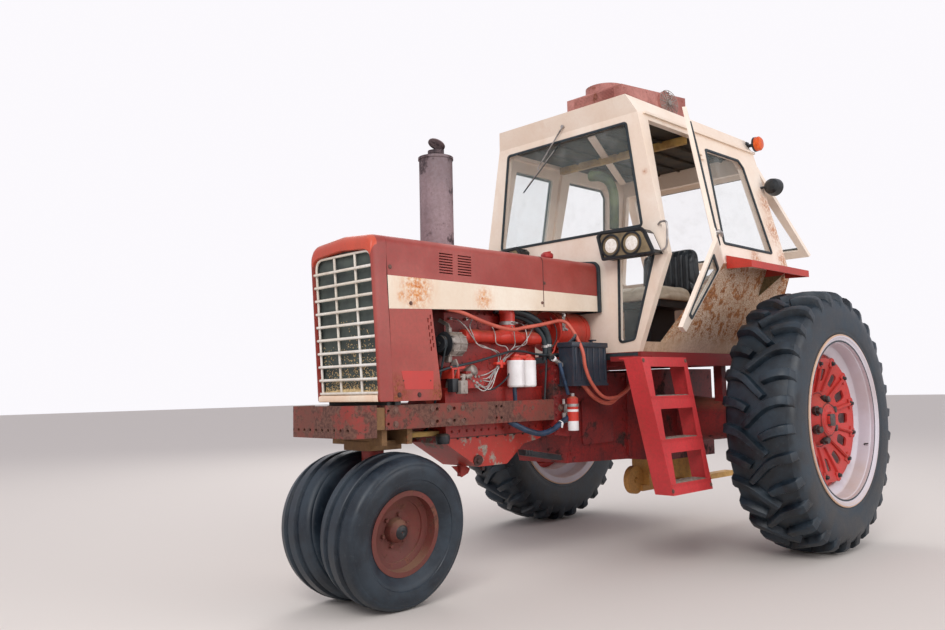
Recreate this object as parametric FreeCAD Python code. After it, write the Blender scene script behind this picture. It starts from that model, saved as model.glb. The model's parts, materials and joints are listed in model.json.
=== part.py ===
import FreeCAD
import Part
import math
import os
from FreeCAD import Vector

# Farm tractor with a narrow front axle and a cab.
# Millimetres. X is across with the driver's left at +X, Y runs back along the tractor
# with the rear axle at 0, and Z is the height above the ground.
# The finished pieces are moved at the end so that the origin is the bottom centre of the whole.

# Running gear and the places that the rest is measured from
wheelbase = 2649
cab_front_y = -1030
engine_rear_y = cab_front_y - 470
rear_tyre_radius = 815
rear_tyre_width = 430
rear_tyre_centre_x = 1115
rear_rim_seat_radius = 482
rear_rim_flange_radius = 517
rear_rim_half_width = 208
rear_rim_well_radius = 425
rear_rim_sheet = 9
rear_disc_x = 1220
rear_disc_radius = 385
rear_axle_radius = 45
rear_axle_end_x = 1242
front_tyre_radius = 378
front_tyre_width = 262
front_tyre_centre_x = 167
front_rim_seat_radius = 190
front_rim_flange_radius = 209
front_rim_half_width = 85
front_camber = 6.5
front_axle_radius = 28
running_clearance = 0.3

# Frame rails and front end
rail_half_width = 241
rail_thickness = 38
rail_bottom_z = 867
rail_top_z = 985
rail_front_y = -wheelbase - 107
rail_rear_y = engine_rear_y
bracket_half_width = 267
bracket_front_y = -wheelbase - 325
bracket_rear_y = -wheelbase - 181
bracket_bottom_z = 835
bracket_wall = 22
bracket_hole_radius = 9
bracket_hole_pitch = 50
bracket_hole_count = 10
bracket_hole_z = 872

# Hood and nose
hood_half_width = 257
hood_sheet = 10
hood_front_y = -wheelbase - 103
hood_bottom_z = 1618
hood_front_top_z = 1837
hood_rear_top_z = 1848
hood_crown = 22
hood_corner_radius = 45
nose_top_front_y = hood_front_y - 114
nose_bottom_front_y = hood_front_y - 70
nose_top_corner_z = 1834
nose_bottom_z = 1003
nose_wall = 16
seam_gap = 2
nose_front_corner_radius = 55
stripe_front_bottom_z = 1454
stripe_rear_bottom_z = 1523
panel_rear_top_y = hood_front_y + 240
panel_rear_bottom_y = hood_front_y + 352
panel_perforated_width = 52

# Engine
engine_front_y = -wheelbase + 369
crankcase_half_width = 150
cylinder_block_half_width = 108
muffler_y = engine_front_y + 100
muffler_radius = 94
muffler_bottom_z = 1850
muffler_top_z = 2355
exhaust_pipe_radius = 38

# Cab
hood_rear_y = cab_front_y - running_clearance
cab_wall = 45
cab_bottom_z = 1260
cab_top_z = 2733
cab_kink_z = 1830
cab_upper_height = cab_top_z - cab_kink_z
cab_kink_half_width = 757
cab_upper_lean = 0.194
cab_lower_lean = 0.405
cab_rear_top_y = 465
cab_rear_slope = 0.13
glass_thickness = 6
glass_gap = 0.3
roof_height = 112
roof_side_lean = 50
roof_visor = 51
roof_crown = 12
roof_sheet = 30
door_hinge_y = -370
door_top_z = cab_kink_z + 0.9635 * cab_upper_height
door_bottom_z = 1320
door_front_top_y = cab_front_y + 108
door_low_rear_y = -766
door_gap = 8
door_leaf = 26
door_open_angle = 26
door_hinge_offset = 13
hinge_pin_radius = 5
hinge_barrel_radius = 10
rear_window_hinge_z = cab_kink_z + 0.9136 * cab_upper_height
rear_window_bottom_z = cab_kink_z + 15
rear_window_rim = 0.0687 * cab_upper_height
rear_window_leaf = 34
window_seal_gap = 6
rear_window_open_angle = 30

# Fenders and ladder
fender_outer_x = 930
fender_front_y = -340
fender_rear_y = 500
fender_inner_z = 1883
fender_outer_z = 1833
fender_lip = 45
fender_sheet = 6
fender_gusset_y = 215
fender_gusset_height = 175
ladder_top_z = 1215
ladder_bottom_z = 445
ladder_top_x = 750
ladder_bottom_x = 860
ladder_front_y = -1340
ladder_top_length = 470
ladder_bottom_length = 420
ladder_depth = 120
ladder_step_heights = (985, 745, 500)


def side_x(z):
    # outer face of the cab side, which leans in above and below the kink line
    if z >= cab_kink_z:
        return cab_kink_half_width - (z - cab_kink_z) * cab_upper_lean
    return cab_kink_half_width - (cab_kink_z - z) * cab_lower_lean


def rear_y(z):
    # outer face of the sloping rear wall of the cab
    return cab_rear_top_y + (cab_top_z - z) * cab_rear_slope


def rounded_face(points, place):
    # points are (a, b) or (a, b, corner radius), place turns a and b into a point in space
    corners = []
    count = len(points)
    for index in range(count):
        a, b = points[index][:2]
        radius = points[index][2] if len(points[index]) > 2 else 0
        here = Vector(a, b, 0)
        to_last = Vector(*points[index - 1][:2], 0).sub(here).normalize()
        to_next = Vector(*points[(index + 1) % count][:2], 0).sub(here).normalize()
        if radius == 0:
            corners.append((here, None, here))
            continue
        half = to_last.getAngle(to_next) / 2
        bisector = to_last.add(to_next).normalize()
        run = radius / math.tan(half)
        middle = here.add(bisector * (radius / math.sin(half) - radius))
        corners.append((here.add(to_last * run), middle, here.add(to_next * run)))
    edges = []
    for index in range(count):
        start, middle, end = corners[index]
        if middle is not None:
            arc = [place(p.x, p.y) for p in (start, middle, end)]
            edges.append(Part.Arc(*arc).toShape())
        following = corners[(index + 1) % count][0]
        if end.distanceToPoint(following) > 0.001:
            edges.append(Part.makeLine(place(end.x, end.y), place(following.x, following.y)))
    return Part.Face(Part.Wire(edges))


def front_slab(points, y, depth):
    # outline of (x, z) points seen from the front
    return rounded_face(points, lambda a, b: Vector(a, y, b)).extrude(Vector(0, depth, 0))


def side_slab(points, x, depth):
    # outline of (y, z) points seen from the side
    return rounded_face(points, lambda a, b: Vector(x, a, b)).extrude(Vector(depth, 0, 0))


def flat_slab(points, z, depth):
    # outline of (x, y) points seen from above
    return rounded_face(points, lambda a, b: Vector(a, b, z)).extrude(Vector(0, 0, depth))


def cab_side_slab(points, inset, depth):
    # outline of (y, z) points on one leaning plane of the left cab side
    face = rounded_face(points, lambda a, b: Vector(side_x(b) - inset, a, b))
    return face.extrude(Vector(-depth, 0, 0))


def side_opening(points):
    # a cutter straight through the left side of the cab, from (y, z) points
    return side_slab(points, 300, 700)


def cab_rear_slab(points, inset, depth):
    # outline of (x, z) points on the sloping rear wall
    face = rounded_face(points, lambda a, b: Vector(a, rear_y(b) - inset, b))
    return face.extrude(Vector(0, -depth, 0))


def box(x0, x1, y0, y1, z0, z1):
    return Part.makeBox(x1 - x0, y1 - y0, z1 - z0, Vector(x0, y0, z0))


def rod(start, end, radius):
    start = Vector(*start)
    axis = Vector(*end).sub(start)
    return Part.makeCylinder(radius, axis.Length, start, axis)


def taper(start, end, start_radius, end_radius):
    start = Vector(*start)
    axis = Vector(*end).sub(start)
    return Part.makeCone(start_radius, end_radius, axis.Length, start, axis)


def turned(points, centre):
    # (distance along X, radius) points turned about an axis along X through the centre
    corners = [Vector(a, 0, r) for a, r in points]
    profile = Part.Face(Part.makePolygon(corners + corners[:1]))
    ring = profile.revolve(Vector(0, 0, 0), Vector(1, 0, 0), 360)
    ring.translate(Vector(*centre))
    return ring


def wheel_point(along, radius, angle):
    # angle from the top of the wheel, growing towards the front of the tractor
    return Vector(along, -radius * math.sin(angle), radius * math.cos(angle))


def faceted_ring(points, count):
    # (distance along X, radius) points carried round the X axis in flat facets, one corner at the bottom
    faces = []
    angles = [math.pi + 2 * math.pi * step / count for step in range(count + 1)]
    for (a, r), (b, q) in zip(points, points[1:] + points[:1]):
        for low, high in zip(angles, angles[1:]):
            corners = [wheel_point(a, r, low), wheel_point(b, q, low), wheel_point(b, q, high),
                       wheel_point(a, r, high)]
            faces.append(Part.Face(Part.makePolygon(corners + corners[:1])))
    solid = Part.Solid(Part.makeShell(faces))
    return solid if solid.Volume > 0 else solid.reversed()


def ribbed_bar(sections):
    # four-cornered sections joined by flat three-cornered faces
    corner_sets = []
    for first, second in zip(sections, sections[1:]):
        for k in range(4):
            following = (k + 1) % 4
            corner_sets.append((first[k], first[following], second[following]))
            corner_sets.append((first[k], second[following], second[k]))
    for end in (sections[0], sections[-1]):
        corner_sets.append((end[0], end[1], end[2]))
        corner_sets.append((end[0], end[2], end[3]))
    faces = [Part.Face(Part.makePolygon(list(corners) + [corners[0]])) for corners in corner_sets]
    solid = Part.Solid(Part.makeShell(faces))
    return solid if solid.Volume > 0 else solid.reversed()


def fused(shapes):
    whole = shapes[0].multiFuse(shapes[1:])
    return whole.removeSplitter()


def mirrored(shape):
    return shape.mirror(Vector(0, 0, 0), Vector(1, 0, 0))


def pair(shape):
    return Part.makeCompound([shape, mirrored(shape)])


def loft(sections):
    # sections are lists of corner points, joined by flat or twisted faces
    wires = []
    for corners in sections:
        points = [Vector(*corner) for corner in corners]
        wires.append(Part.makePolygon(points + points[:1]))
    return Part.makeLoft(wires, True, True)


def seam_y(z):
    # the seam between nose and side panels leans forward at the top
    return hood_front_y + (hood_bottom_z - z) * 0.0585


def hood_section(y, bottom_z, top_z, half_width):
    # inverted U outline of the hood at one place along it
    shoulder = top_z - hood_crown
    return [(half_width, bottom_z), (half_width, shoulder, hood_corner_radius), (0, top_z, 0),
            (-half_width, shoulder, hood_corner_radius), (-half_width, bottom_z)]


def hood_solid(front, rear):
    wires = []
    for y, bottom_z, top_z, half_width in (front, rear):
        face = rounded_face(hood_section(y, bottom_z, top_z, half_width),
                            lambda a, b, y=y: Vector(a, y, b))
        wires.append(face.OuterWire)
    return Part.makeLoft(wires, True, True)


def make_front_bracket():
    corner = 60
    outline = [(-bracket_half_width, bracket_front_y, corner),
               (bracket_half_width, bracket_front_y, corner),
               (bracket_half_width, bracket_rear_y),
               (-bracket_half_width, bracket_rear_y)]
    inner_half = bracket_half_width - bracket_wall
    inner_front = bracket_front_y + bracket_wall
    inner_corner = corner - bracket_wall
    inner = [(-inner_half, inner_front, inner_corner), (inner_half, inner_front, inner_corner),
             (inner_half, bracket_rear_y + 1), (-inner_half, bracket_rear_y + 1)]
    tray = flat_slab(outline, bracket_bottom_z, rail_top_z + 3 - bracket_bottom_z)
    tray = tray.cut(flat_slab(inner, bracket_bottom_z + bracket_wall, 400))
    first = -bracket_hole_pitch * (bracket_hole_count - 1) / 2
    for index in range(bracket_hole_count):
        x = first + index * bracket_hole_pitch
        hole = rod((x, bracket_front_y - 1, bracket_hole_z), (x, bracket_front_y + 80, bracket_hole_z),
                   bracket_hole_radius)
        tray = tray.cut(hole)
    return tray


def make_side_rails():
    rail = box(rail_half_width - rail_thickness, rail_half_width, rail_front_y, rail_rear_y,
               rail_bottom_z, rail_top_z)
    # hole columns: share of the rail's length from its front, radius
    for share, radius in ((0.0143, 8), (0.2675, 10), (0.363, 10), (0.4188, 10), (0.6139, 9), (0.6457, 9)):
        y = rail_front_y + share * (rail_rear_y - rail_front_y)
        for z in (rail_bottom_z + 28, rail_top_z - 28):
            rail = rail.cut(rod((rail_half_width - 60, y, z), (rail_half_width + 1, y, z), radius))
    return pair(rail)


bolster_half_width = rail_half_width - rail_thickness
bolster_leg_bottom_z = 790
bolster_foot_z = 762
bolster_foot_depth = 45
bolster_foot_reach = 110
pedestal_bore_radius = 42
pedestal_shaft_bottom_z = 560
pedestal_shaft_top_z = rail_bottom_z + 73


def make_front_bolster():
    front = bracket_rear_y
    cross_half = rail_half_width - 6
    cross = box(-cross_half, cross_half, front, rail_front_y, rail_bottom_z + 2, rail_top_z - 10)
    nose_half = bracket_half_width - bracket_wall - running_clearance
    nose = box(-nose_half, nose_half, front - 60, front, bracket_bottom_z + bracket_wall, rail_top_z - 10)
    block_rear_y = bolster_foot_reach + 20 - wheelbase
    block = box(-bolster_half_width, bolster_half_width, rail_front_y, block_rear_y,
                rail_bottom_z, rail_top_z - 20)
    legs = []
    for y in (-wheelbase - 86, -wheelbase + 74):
        legs.append(box(-bolster_half_width, bolster_half_width, y - 16, y + 16,
                        bolster_leg_bottom_z, rail_bottom_z))
    foot_front_y = -wheelbase - bolster_foot_reach
    foot_rear_y = -wheelbase + bolster_foot_reach
    foot = flat_slab([(-115, foot_front_y, 30), (115, foot_front_y, 30), (115, foot_rear_y, 30),
                      (-115, foot_rear_y, 30)], bolster_foot_z, bolster_foot_depth)
    casting = fused([cross, nose, block, foot] + legs)
    bore = rod((0, -wheelbase, bolster_foot_z - 60), (0, -wheelbase, rail_top_z + 20),
               pedestal_bore_radius + running_clearance)
    return casting.cut(bore)


def lean_wheel(shape, side):
    # tilt a front wheel piece built about the X axis, then carry it to its place
    shape.rotate(Vector(0, 0, 0), Vector(0, 1, 0), front_camber)
    shape.translate(Vector(front_tyre_centre_x, -wheelbase, front_axle_z))
    return shape if side > 0 else mirrored(shape)


# crown of the front tyre: distance from its middle plane, radius
front_tyre_crown = [(-108, 364), (0, front_tyre_radius), (108, 364)]
tilt = math.radians(front_camber)
front_axle_z = max(a * math.sin(tilt) + r * math.cos(tilt) for a, r in front_tyre_crown)


front_tyre_facets = 18


def make_front_tyre(side):
    # the flat facets of the seat stay clear of the round rim
    facet_shrink = math.cos(math.pi / front_tyre_facets)
    seat = (front_rim_seat_radius + running_clearance) / facet_shrink
    half = front_tyre_width / 2
    bead = front_rim_half_width - 4
    # half section below the crown: distance from the middle plane, radius
    right_half = [(half, 298), (bead, front_rim_flange_radius - 3), (bead, seat), (bead - 16, seat),
                  (half - 32, 335)]
    left_half = [(-a, r) for a, r in reversed(right_half)]
    loop = left_half + front_tyre_crown + right_half
    return lean_wheel(faceted_ring(loop, front_tyre_facets), side)


def make_front_rim(side):
    edge = front_rim_half_width
    sheet = 6
    profile = [(-edge - 4, front_rim_flange_radius), (-edge, front_rim_flange_radius),
               (-edge, front_rim_seat_radius), (-30, front_rim_seat_radius), (-20, 160), (20, 160),
               (30, front_rim_seat_radius), (edge, front_rim_seat_radius), (edge, front_rim_flange_radius),
               (edge + 4, front_rim_flange_radius), (edge + 4, front_rim_seat_radius - sheet),
               (34, front_rim_seat_radius - sheet), (24, 160 - sheet), (16, 160 - sheet),
               (-2, 100), (-2, 62), (32, 56), (52, 40), (60, 30), (60, 0.01), (-70, 0.01), (-70, 48),
               (-8, 52),
               (-12, 100), (4, 160 - sheet), (-24, 160 - sheet), (-34, front_rim_seat_radius - sheet),
               (-edge - 4, front_rim_seat_radius - sheet)]
    rim = turned(profile, (0, 0, 0))
    bore = rod((-80, 0, 0), (30, 0, 0), front_axle_radius + running_clearance)
    return lean_wheel(rim.cut(bore), side)


def make_front_pedestal():
    shaft = rod((0, -wheelbase, pedestal_shaft_bottom_z), (0, -wheelbase, pedestal_shaft_top_z),
                pedestal_bore_radius)
    collar = rod((0, -wheelbase, pedestal_shaft_bottom_z), (0, -wheelbase, bolster_foot_z - 7), 56)
    yoke_half = front_tyre_centre_x - 80
    right_edge = [(45, 690), (yoke_half - 20, front_axle_z + 40), (yoke_half - 8, front_axle_z - 50)]
    outline = right_edge + [(-x, z) for x, z in reversed(right_edge)]
    yoke = front_slab(outline, -wheelbase - 60, 120)
    axles = []
    for side in (1, -1):
        reach = 110
        run_x = math.cos(tilt)
        run_z = math.sin(tilt)
        inner = (side * (front_tyre_centre_x - reach * run_x), -wheelbase, front_axle_z + reach * run_z)
        outer = (side * (front_tyre_centre_x + 28 * run_x), -wheelbase, front_axle_z - 28 * run_z)
        axles.append(rod(inner, outer, front_axle_radius))
    return fused([shaft, collar, yoke] + axles)


def make_radiator():
    front = hood_front_y + 7
    rear = hood_front_y + 87
    frame_top_z = hood_front_top_z - 105
    core = box(-226, 226, front, rear, rail_top_z, frame_top_z + 25)
    nose_side = hood_half_width - nose_wall - running_clearance
    hood_side = hood_half_width - hood_sheet - running_clearance
    front_frame = box(-nose_side, nose_side, front, front + 15, rail_top_z, frame_top_z)
    rear_frame = box(-hood_side, hood_side, rear - 35, rear, rail_top_z, frame_top_z)
    return fused([core, front_frame, rear_frame])


def make_nose_shell():
    side = [(nose_bottom_front_y, nose_bottom_z),
            (nose_top_front_y, nose_top_corner_z, nose_front_corner_radius),
            (hood_front_y - seam_gap, hood_front_top_z), (hood_front_y - seam_gap, hood_bottom_z),
            (seam_y(nose_bottom_z) - seam_gap, nose_bottom_z)]
    solid = side_slab(side, -hood_half_width, 2 * hood_half_width)
    section = front_slab(hood_section(0, nose_bottom_z, hood_front_top_z, hood_half_width),
                         nose_top_front_y - 100, 400)
    solid = solid.common(section)
    inner_half = hood_half_width - nose_wall
    inner_section = hood_section(0, nose_bottom_z - 1, hood_front_top_z - nose_wall, inner_half)
    hollow = front_slab(inner_section, hood_front_y - 43, 200)
    window_half = hood_half_width - 24
    window_low = nose_bottom_z + 60
    window_high = hood_front_top_z - 60
    window = front_slab([(-window_half, window_low, 4), (window_half, window_low, 4),
                         (window_half, window_high, 40), (-window_half, window_high, 40)],
                        nose_top_front_y - 100, 400)
    return solid.cut(hollow).cut(window)


grille_half_width = 230
grille_loop_half_width = 222
grille_bottom_z = nose_bottom_z + 71
grille_top_z = hood_front_top_z - 82
grille_rows = 10
grille_row_top_z = grille_top_z - 74
grille_wire_half = 4.5
grille_post_places = (-78, 94)


def grille_y(z):
    # the grille leans forward at the top with the nose
    share = (z - nose_bottom_z) / (nose_top_corner_z - 70 - nose_bottom_z)
    return nose_bottom_front_y + share * (nose_top_front_y - nose_bottom_front_y) + 20


def wire_section(x, z, depth):
    # square outline of an upright wire at one height
    half = grille_wire_half
    y = grille_y(z) + depth
    near, far = y - half, y + half
    return [(x - half, near, z), (x + half, near, z), (x + half, far, z), (x - half, far, z)]


def make_grille():
    half = grille_wire_half
    bars = []
    for row in range(grille_rows):
        z = grille_bottom_z + row * (grille_row_top_z - grille_bottom_z) / (grille_rows - 1)
        y = grille_y(z) - half
        bars.append(box(-grille_half_width, grille_half_width, y - half, y + half, z - half, z + half))
    side = grille_loop_half_width
    for x in (-side, side) + grille_post_places:
        bars.append(loft([wire_section(x, grille_bottom_z - 2 * half, half / 2),
                          wire_section(x, grille_top_z, half / 2)]))
    y = grille_y(grille_top_z)
    bars.append(box(-side - half, side + half, y - half, y + half, grille_top_z - 2 * half, grille_top_z))
    # feet that hold the wires to the sill
    y = grille_y(grille_bottom_z)
    for x in (-side + 30, side - 30):
        bars.append(box(x - 8, x + 8, y - 2 * half, y + 2 * half, nose_bottom_z + 60, grille_bottom_z))
    return fused(bars)


louvre_rows = 8
louvre_bottom_z = 1655
louvre_pitch = 14.3
louvre_height = 6.5


def make_hood():
    outer = hood_solid((hood_front_y, hood_bottom_z, hood_front_top_z, hood_half_width),
                       (hood_rear_y, hood_bottom_z, hood_rear_top_z, hood_half_width))
    inner_half = hood_half_width - hood_sheet
    inner = hood_solid((hood_front_y - 1, hood_bottom_z - 1, hood_front_top_z - hood_sheet, inner_half),
                       (hood_rear_y + 1, hood_bottom_z - 1, hood_rear_top_z - hood_sheet, inner_half))
    hood = outer.cut(inner)
    hood = hood.cut(rod((0, muffler_y, hood_bottom_z), (0, muffler_y, muffler_bottom_z),
                        exhaust_pipe_radius + 12))
    # louvre groups: distance of the slots' front and rear ends from the hood's front
    for start, end in ((348, 445), (481, 581)):
        for index in range(louvre_rows):
            z = louvre_bottom_z + index * louvre_pitch
            slot = box(-hood_half_width - 5, hood_half_width + 5, hood_front_y + start, hood_front_y + end,
                       z, z + louvre_height)
            hood = hood.cut(slot)
    return hood


def make_stripe_panels():
    outline = [(seam_y(stripe_front_bottom_z), stripe_front_bottom_z), (hood_front_y, hood_bottom_z),
               (hood_rear_y, hood_bottom_z), (hood_rear_y, stripe_rear_bottom_z)]
    return pair(side_slab(outline, hood_half_width - hood_sheet, hood_sheet))


flange_slot_rows = 5
flange_slot_top_z = 1436
flange_slot_pitch = 36
flange_slot_height = 22


def make_nose_side_panels():
    outline = [(seam_y(nose_bottom_z), nose_bottom_z), (seam_y(stripe_front_bottom_z), stripe_front_bottom_z),
               (panel_rear_top_y + panel_perforated_width, stripe_front_bottom_z + 10),
               (panel_rear_bottom_y, nose_bottom_z + 22, 25), (panel_rear_bottom_y - 10, nose_bottom_z, 10)]
    sheet = side_slab(outline, hood_half_width - hood_sheet, hood_sheet)
    edge_top_y = panel_rear_top_y + panel_perforated_width
    edge_height = stripe_front_bottom_z - nose_bottom_z
    # slots in the rear flange: distance from its edge, height of the highest
    for distance, first in ((14, flange_slot_top_z), (32, flange_slot_top_z - flange_slot_pitch / 2)):
        for index in range(flange_slot_rows):
            z = first - index * flange_slot_pitch
            share = (stripe_front_bottom_z - z) / edge_height
            y = edge_top_y + share * (panel_rear_bottom_y - edge_top_y) - distance
            sheet = sheet.cut(box(hood_half_width - 20, hood_half_width + 5, y - 4, y + 4,
                                  z - flange_slot_height, z))
    return pair(sheet)


def engine_place(share):
    # a place along the engine, from 0 at its front to 1 at its rear
    return engine_front_y + share * (engine_rear_y - engine_front_y)


def make_engine():
    crankcase = box(-crankcase_half_width, crankcase_half_width, engine_front_y, engine_rear_y, 800, 1060)
    half = cylinder_block_half_width
    block = box(-half, half, engine_front_y, engine_rear_y, 1060, 1335)
    head = box(-half, half, engine_front_y + 40, engine_rear_y - 20, 1335, 1470)
    cover = box(-75, 75, engine_front_y + 70, engine_rear_y - 50, 1470, 1540)
    pulley = rod((0, engine_front_y - 60, 1150), (0, engine_front_y, 1150), 85)
    crank = rod((0, engine_front_y - 70, 930), (0, engine_front_y, 930), 95)
    foot_half = bolster_half_width
    front_feet = box(-foot_half, foot_half, engine_front_y + 10, engine_front_y + 90, 880, 960)
    return fused([crankcase, block, head, cover, pulley, crank, front_feet])


def make_oil_pan():
    front = engine_front_y + 5
    rear = engine_rear_y - 10
    outline = [(front, 800), (front, 772), (engine_place(0.31), 632, 20), (engine_place(0.61), 632, 20),
               (engine_place(0.795), 735), (rear, 760), (rear, 800)]
    return side_slab(outline, -140, 280)


def make_intake_manifold():
    y0 = engine_front_y + 120
    y1 = engine_rear_y - 10
    log = rod((165, y0, 1345), (165, y1, 1345), 34)
    stub_places = [y0 + share * (y1 - y0) for share in (0.123, 0.5, 0.877)]
    stubs = [rod((cylinder_block_half_width, y, 1345), (165, y, 1345), 24) for y in stub_places]
    riser_y = y0 + 0.554 * (y1 - y0)
    riser = rod((165, riser_y, 1345), (165, riser_y, 1480), 44)
    return fused([log, riser] + stubs)


def make_muffler():
    pipe = rod((0, muffler_y, 1540), (0, muffler_y, muffler_bottom_z + 10), exhaust_pipe_radius)
    body = rod((0, muffler_y, muffler_bottom_z), (0, muffler_y, muffler_top_z), muffler_radius)
    rim = rod((0, muffler_y, muffler_top_z - 14), (0, muffler_y, muffler_top_z), muffler_radius + 5)
    outlet = rod((0, muffler_y, muffler_top_z - 10), (0, muffler_y, muffler_top_z + 42), exhaust_pipe_radius)
    collar = rod((0, muffler_y, muffler_top_z + 20), (0, muffler_y, muffler_top_z + 40),
                 exhaust_pipe_radius + 6)
    ear = box(-8, 8, muffler_y + exhaust_pipe_radius + 2, muffler_y + exhaust_pipe_radius + 20,
              muffler_top_z + 20, muffler_top_z + 66)
    flap = rod((0, 0, 0), (0, 0, 5), exhaust_pipe_radius + 12)
    flap.translate(Vector(0, -exhaust_pipe_radius - 10, 0))
    flap.rotate(Vector(0, 0, 0), Vector(1, 0, 0), -28)
    flap.translate(Vector(0, muffler_y + exhaust_pipe_radius + 12, muffler_top_z + 56))
    return fused([pipe, body, rim, outlet, collar, ear, flap])


def make_alternator():
    centre_x, centre_z = 180, 1295
    front = engine_front_y - 15
    body = rod((centre_x, front, centre_z), (centre_x, front + 112, centre_z), 64)
    pulley = rod((centre_x, front - 46, centre_z), (centre_x, front, centre_z), 42)
    arm = box(cylinder_block_half_width, centre_x, front + 35, front + 60, centre_z - 75, centre_z - 40)
    return fused([body, pulley, arm])


filter_radius = 49
filter_x = 201


def make_fuel_filters():
    cans = []
    for share in (0.6423, 0.7731):
        y = engine_place(share)
        cans.append(rod((filter_x, y, 1060), (filter_x, y, 1215), filter_radius))
    head = box(filter_x - 40, filter_x + 40, engine_place(0.587), engine_place(0.828), 1215, 1245)
    arm = box(cylinder_block_half_width, filter_x - 40, engine_place(0.667), engine_place(0.744), 1190, 1245)
    return fused([head, arm] + cans)


def make_injection_pump():
    x = crankcase_half_width
    front = engine_place(0.115)
    body = box(cylinder_block_half_width, x + 70, front, engine_place(0.359), 1060, 1150)
    governor = rod((x + 20, engine_place(0.064), 1102), (x + 20, front, 1102), 40)
    return fused([body, governor])


def make_air_cleaner():
    drum = rod((80, -1370, 1395), (80, -1075, 1395), 122)
    neck = rod((80, -1420, 1420), (80, -1370, 1420), 50)
    feet = [box(30, 130, y, y + 20, case_top_z, case_top_z + 150) for y in (-1320, -1130)]
    return fused([drum, neck] + feet)


def make_battery_box():
    case = box(248, 350, -1450, -1120, 1072, 1300)
    lid = box(244, 356, -1456, -1114, 1300, 1312)
    tray = box(244, 356, -1456, -1114, 1060, 1072)
    arms = [box(185, 250, y, y + 40, 1060, 1090) for y in (-1310, -1160)]
    return fused([case, lid, tray] + arms)


def make_starting_fluid_can():
    y = engine_rear_y + 100
    can = rod((300, y, 800), (300, y, 1000), 33)
    bracket = box(240, 275, y - 12, y + 12, 850, 950)
    return fused([can, bracket])


case_top_z = 1140
# transmission sections from front to back: y, half width, bottom z, top z
case_sections = [
    (engine_rear_y, 240, 780, 1185),
    (engine_rear_y + 140, 240, 760, 1185),
    (engine_rear_y + 165, 185, 600, case_top_z),
    (-700, 185, 580, case_top_z),
    (-330, 230, 545, 1165),
    (330, 230, 545, 1165),
    (400, 190, 570, case_top_z),
]
pto_radius = 17.5
pto_z = 705


def make_transmission_case():
    spans = []
    for front, back in zip(case_sections, case_sections[1:]):
        sections = []
        for y, half, bottom, top in (front, back):
            sections.append([(-half, y, bottom), (half, y, bottom), (half, y, top), (-half, y, top)])
        spans.append(loft(sections))
    pto_boss = rod((0, 390, pto_z), (0, 440, pto_z), 60)
    pto = rod((0, 440, pto_z), (0, 520, pto_z), pto_radius)
    remotes = box(-120, 120, 390, 440, 1010, 1110)
    couplers = [rod((x, 440, 1060), (x, 475, 1060), 19) for x in (-75, -25, 25, 75)]
    case = fused(spans + [pto_boss, pto, remotes] + couplers)
    return case


def make_rear_axle_housing():
    z = rear_tyre_radius
    arms = []
    for side in (1, -1):
        arms.append(taper((side * 230, 0, z), (side * 780, 0, z), 165, 105))
        arms.append(rod((side * 780, 0, z), (side * 815, 0, z), 125))
    bore = rod((-900, 0, z), (-560, 0, z), rear_axle_radius + running_clearance)
    arms[0] = fused(arms[0:2]).cut(mirrored(bore))
    arms[2] = fused(arms[2:4]).cut(bore)
    posts = []
    for side in (1, -1):
        posts.append(box(side * 500 - 30, side * 500 + 30, -60, 0, z + 80, beam_bottom_z))
    left = fused([arms[0], posts[0]])
    right = fused([arms[2], posts[1]])
    return Part.makeCompound([left, right])


drawbar_z = 345
drawbar_pin_radius = 16
drawbar_end_y = 950


def make_drawbar():
    bar = box(-40, 40, -330, drawbar_end_y, drawbar_z - 20, drawbar_z + 20)
    lug = rod((-20, -375, 405), (20, -375, 405), 95)
    lug = lug.cut(rod((-30, -375, 405), (30, -375, 405), 22))
    web = box(-20, 20, -380, -120, drawbar_z - 20, 410)
    front_hanger = box(-70, 70, -290, -250, drawbar_z + 20, 545)
    rear_hanger = front_slab([(-160, 545), (160, 545), (110, drawbar_z - 40), (-110, drawbar_z - 40)],
                             250, 40)
    slot = box(-90, 90, 240, 300, drawbar_z - 21, drawbar_z + 21)
    rear_hanger = rear_hanger.cut(slot)
    pin_y = drawbar_end_y - 45
    hole = rod((0, pin_y, drawbar_z - 60), (0, pin_y, drawbar_z + 60), drawbar_pin_radius)
    keeper = box(-90, 90, 250, 290, drawbar_z - 21, drawbar_z + 21)
    return fused([bar, lug, web, front_hanger, rear_hanger, keeper]).cut(hole)


rear_tyre_facets = 18
tread_floor_radius = 785
bar_pairs_a_side = 15
bar_start_angle = 7.5
bar_foot_spread = 12
# sections of the long and the short tread bars: distance from the middle plane, top radius,
# foot radius, degrees ahead of the outer end, half width of the top, lean of the sides in degrees
long_bar = [(-50, 814, 750, 10, 15, 48), (60, rear_tyre_radius, 740, 2.8, 19, 31),
            (197, 792, 700, 0, 24, 6)]
short_bar = [(38, 813, 743, 3.8, 18, 31), (197, 792, 700, 0, 24, 6)]


def make_tread_bar(sections, outward, outer_end_angle):
    ribs = []
    for off, top, foot, ahead, half_width, lean in sections:
        turn = math.radians(outer_end_angle + ahead)
        lean = math.radians(lean)
        corners = []
        for half, radius in ((-half_width - bar_foot_spread, foot), (-half_width, top), (half_width, top),
                             (half_width + bar_foot_spread, foot)):
            angle = turn + half * math.cos(lean) / rear_tyre_radius
            along = off + half * math.sin(lean)
            corners.append(wheel_point(outward * along, radius, angle))
        ribs.append(corners)
    return ribbed_bar(ribs)


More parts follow.
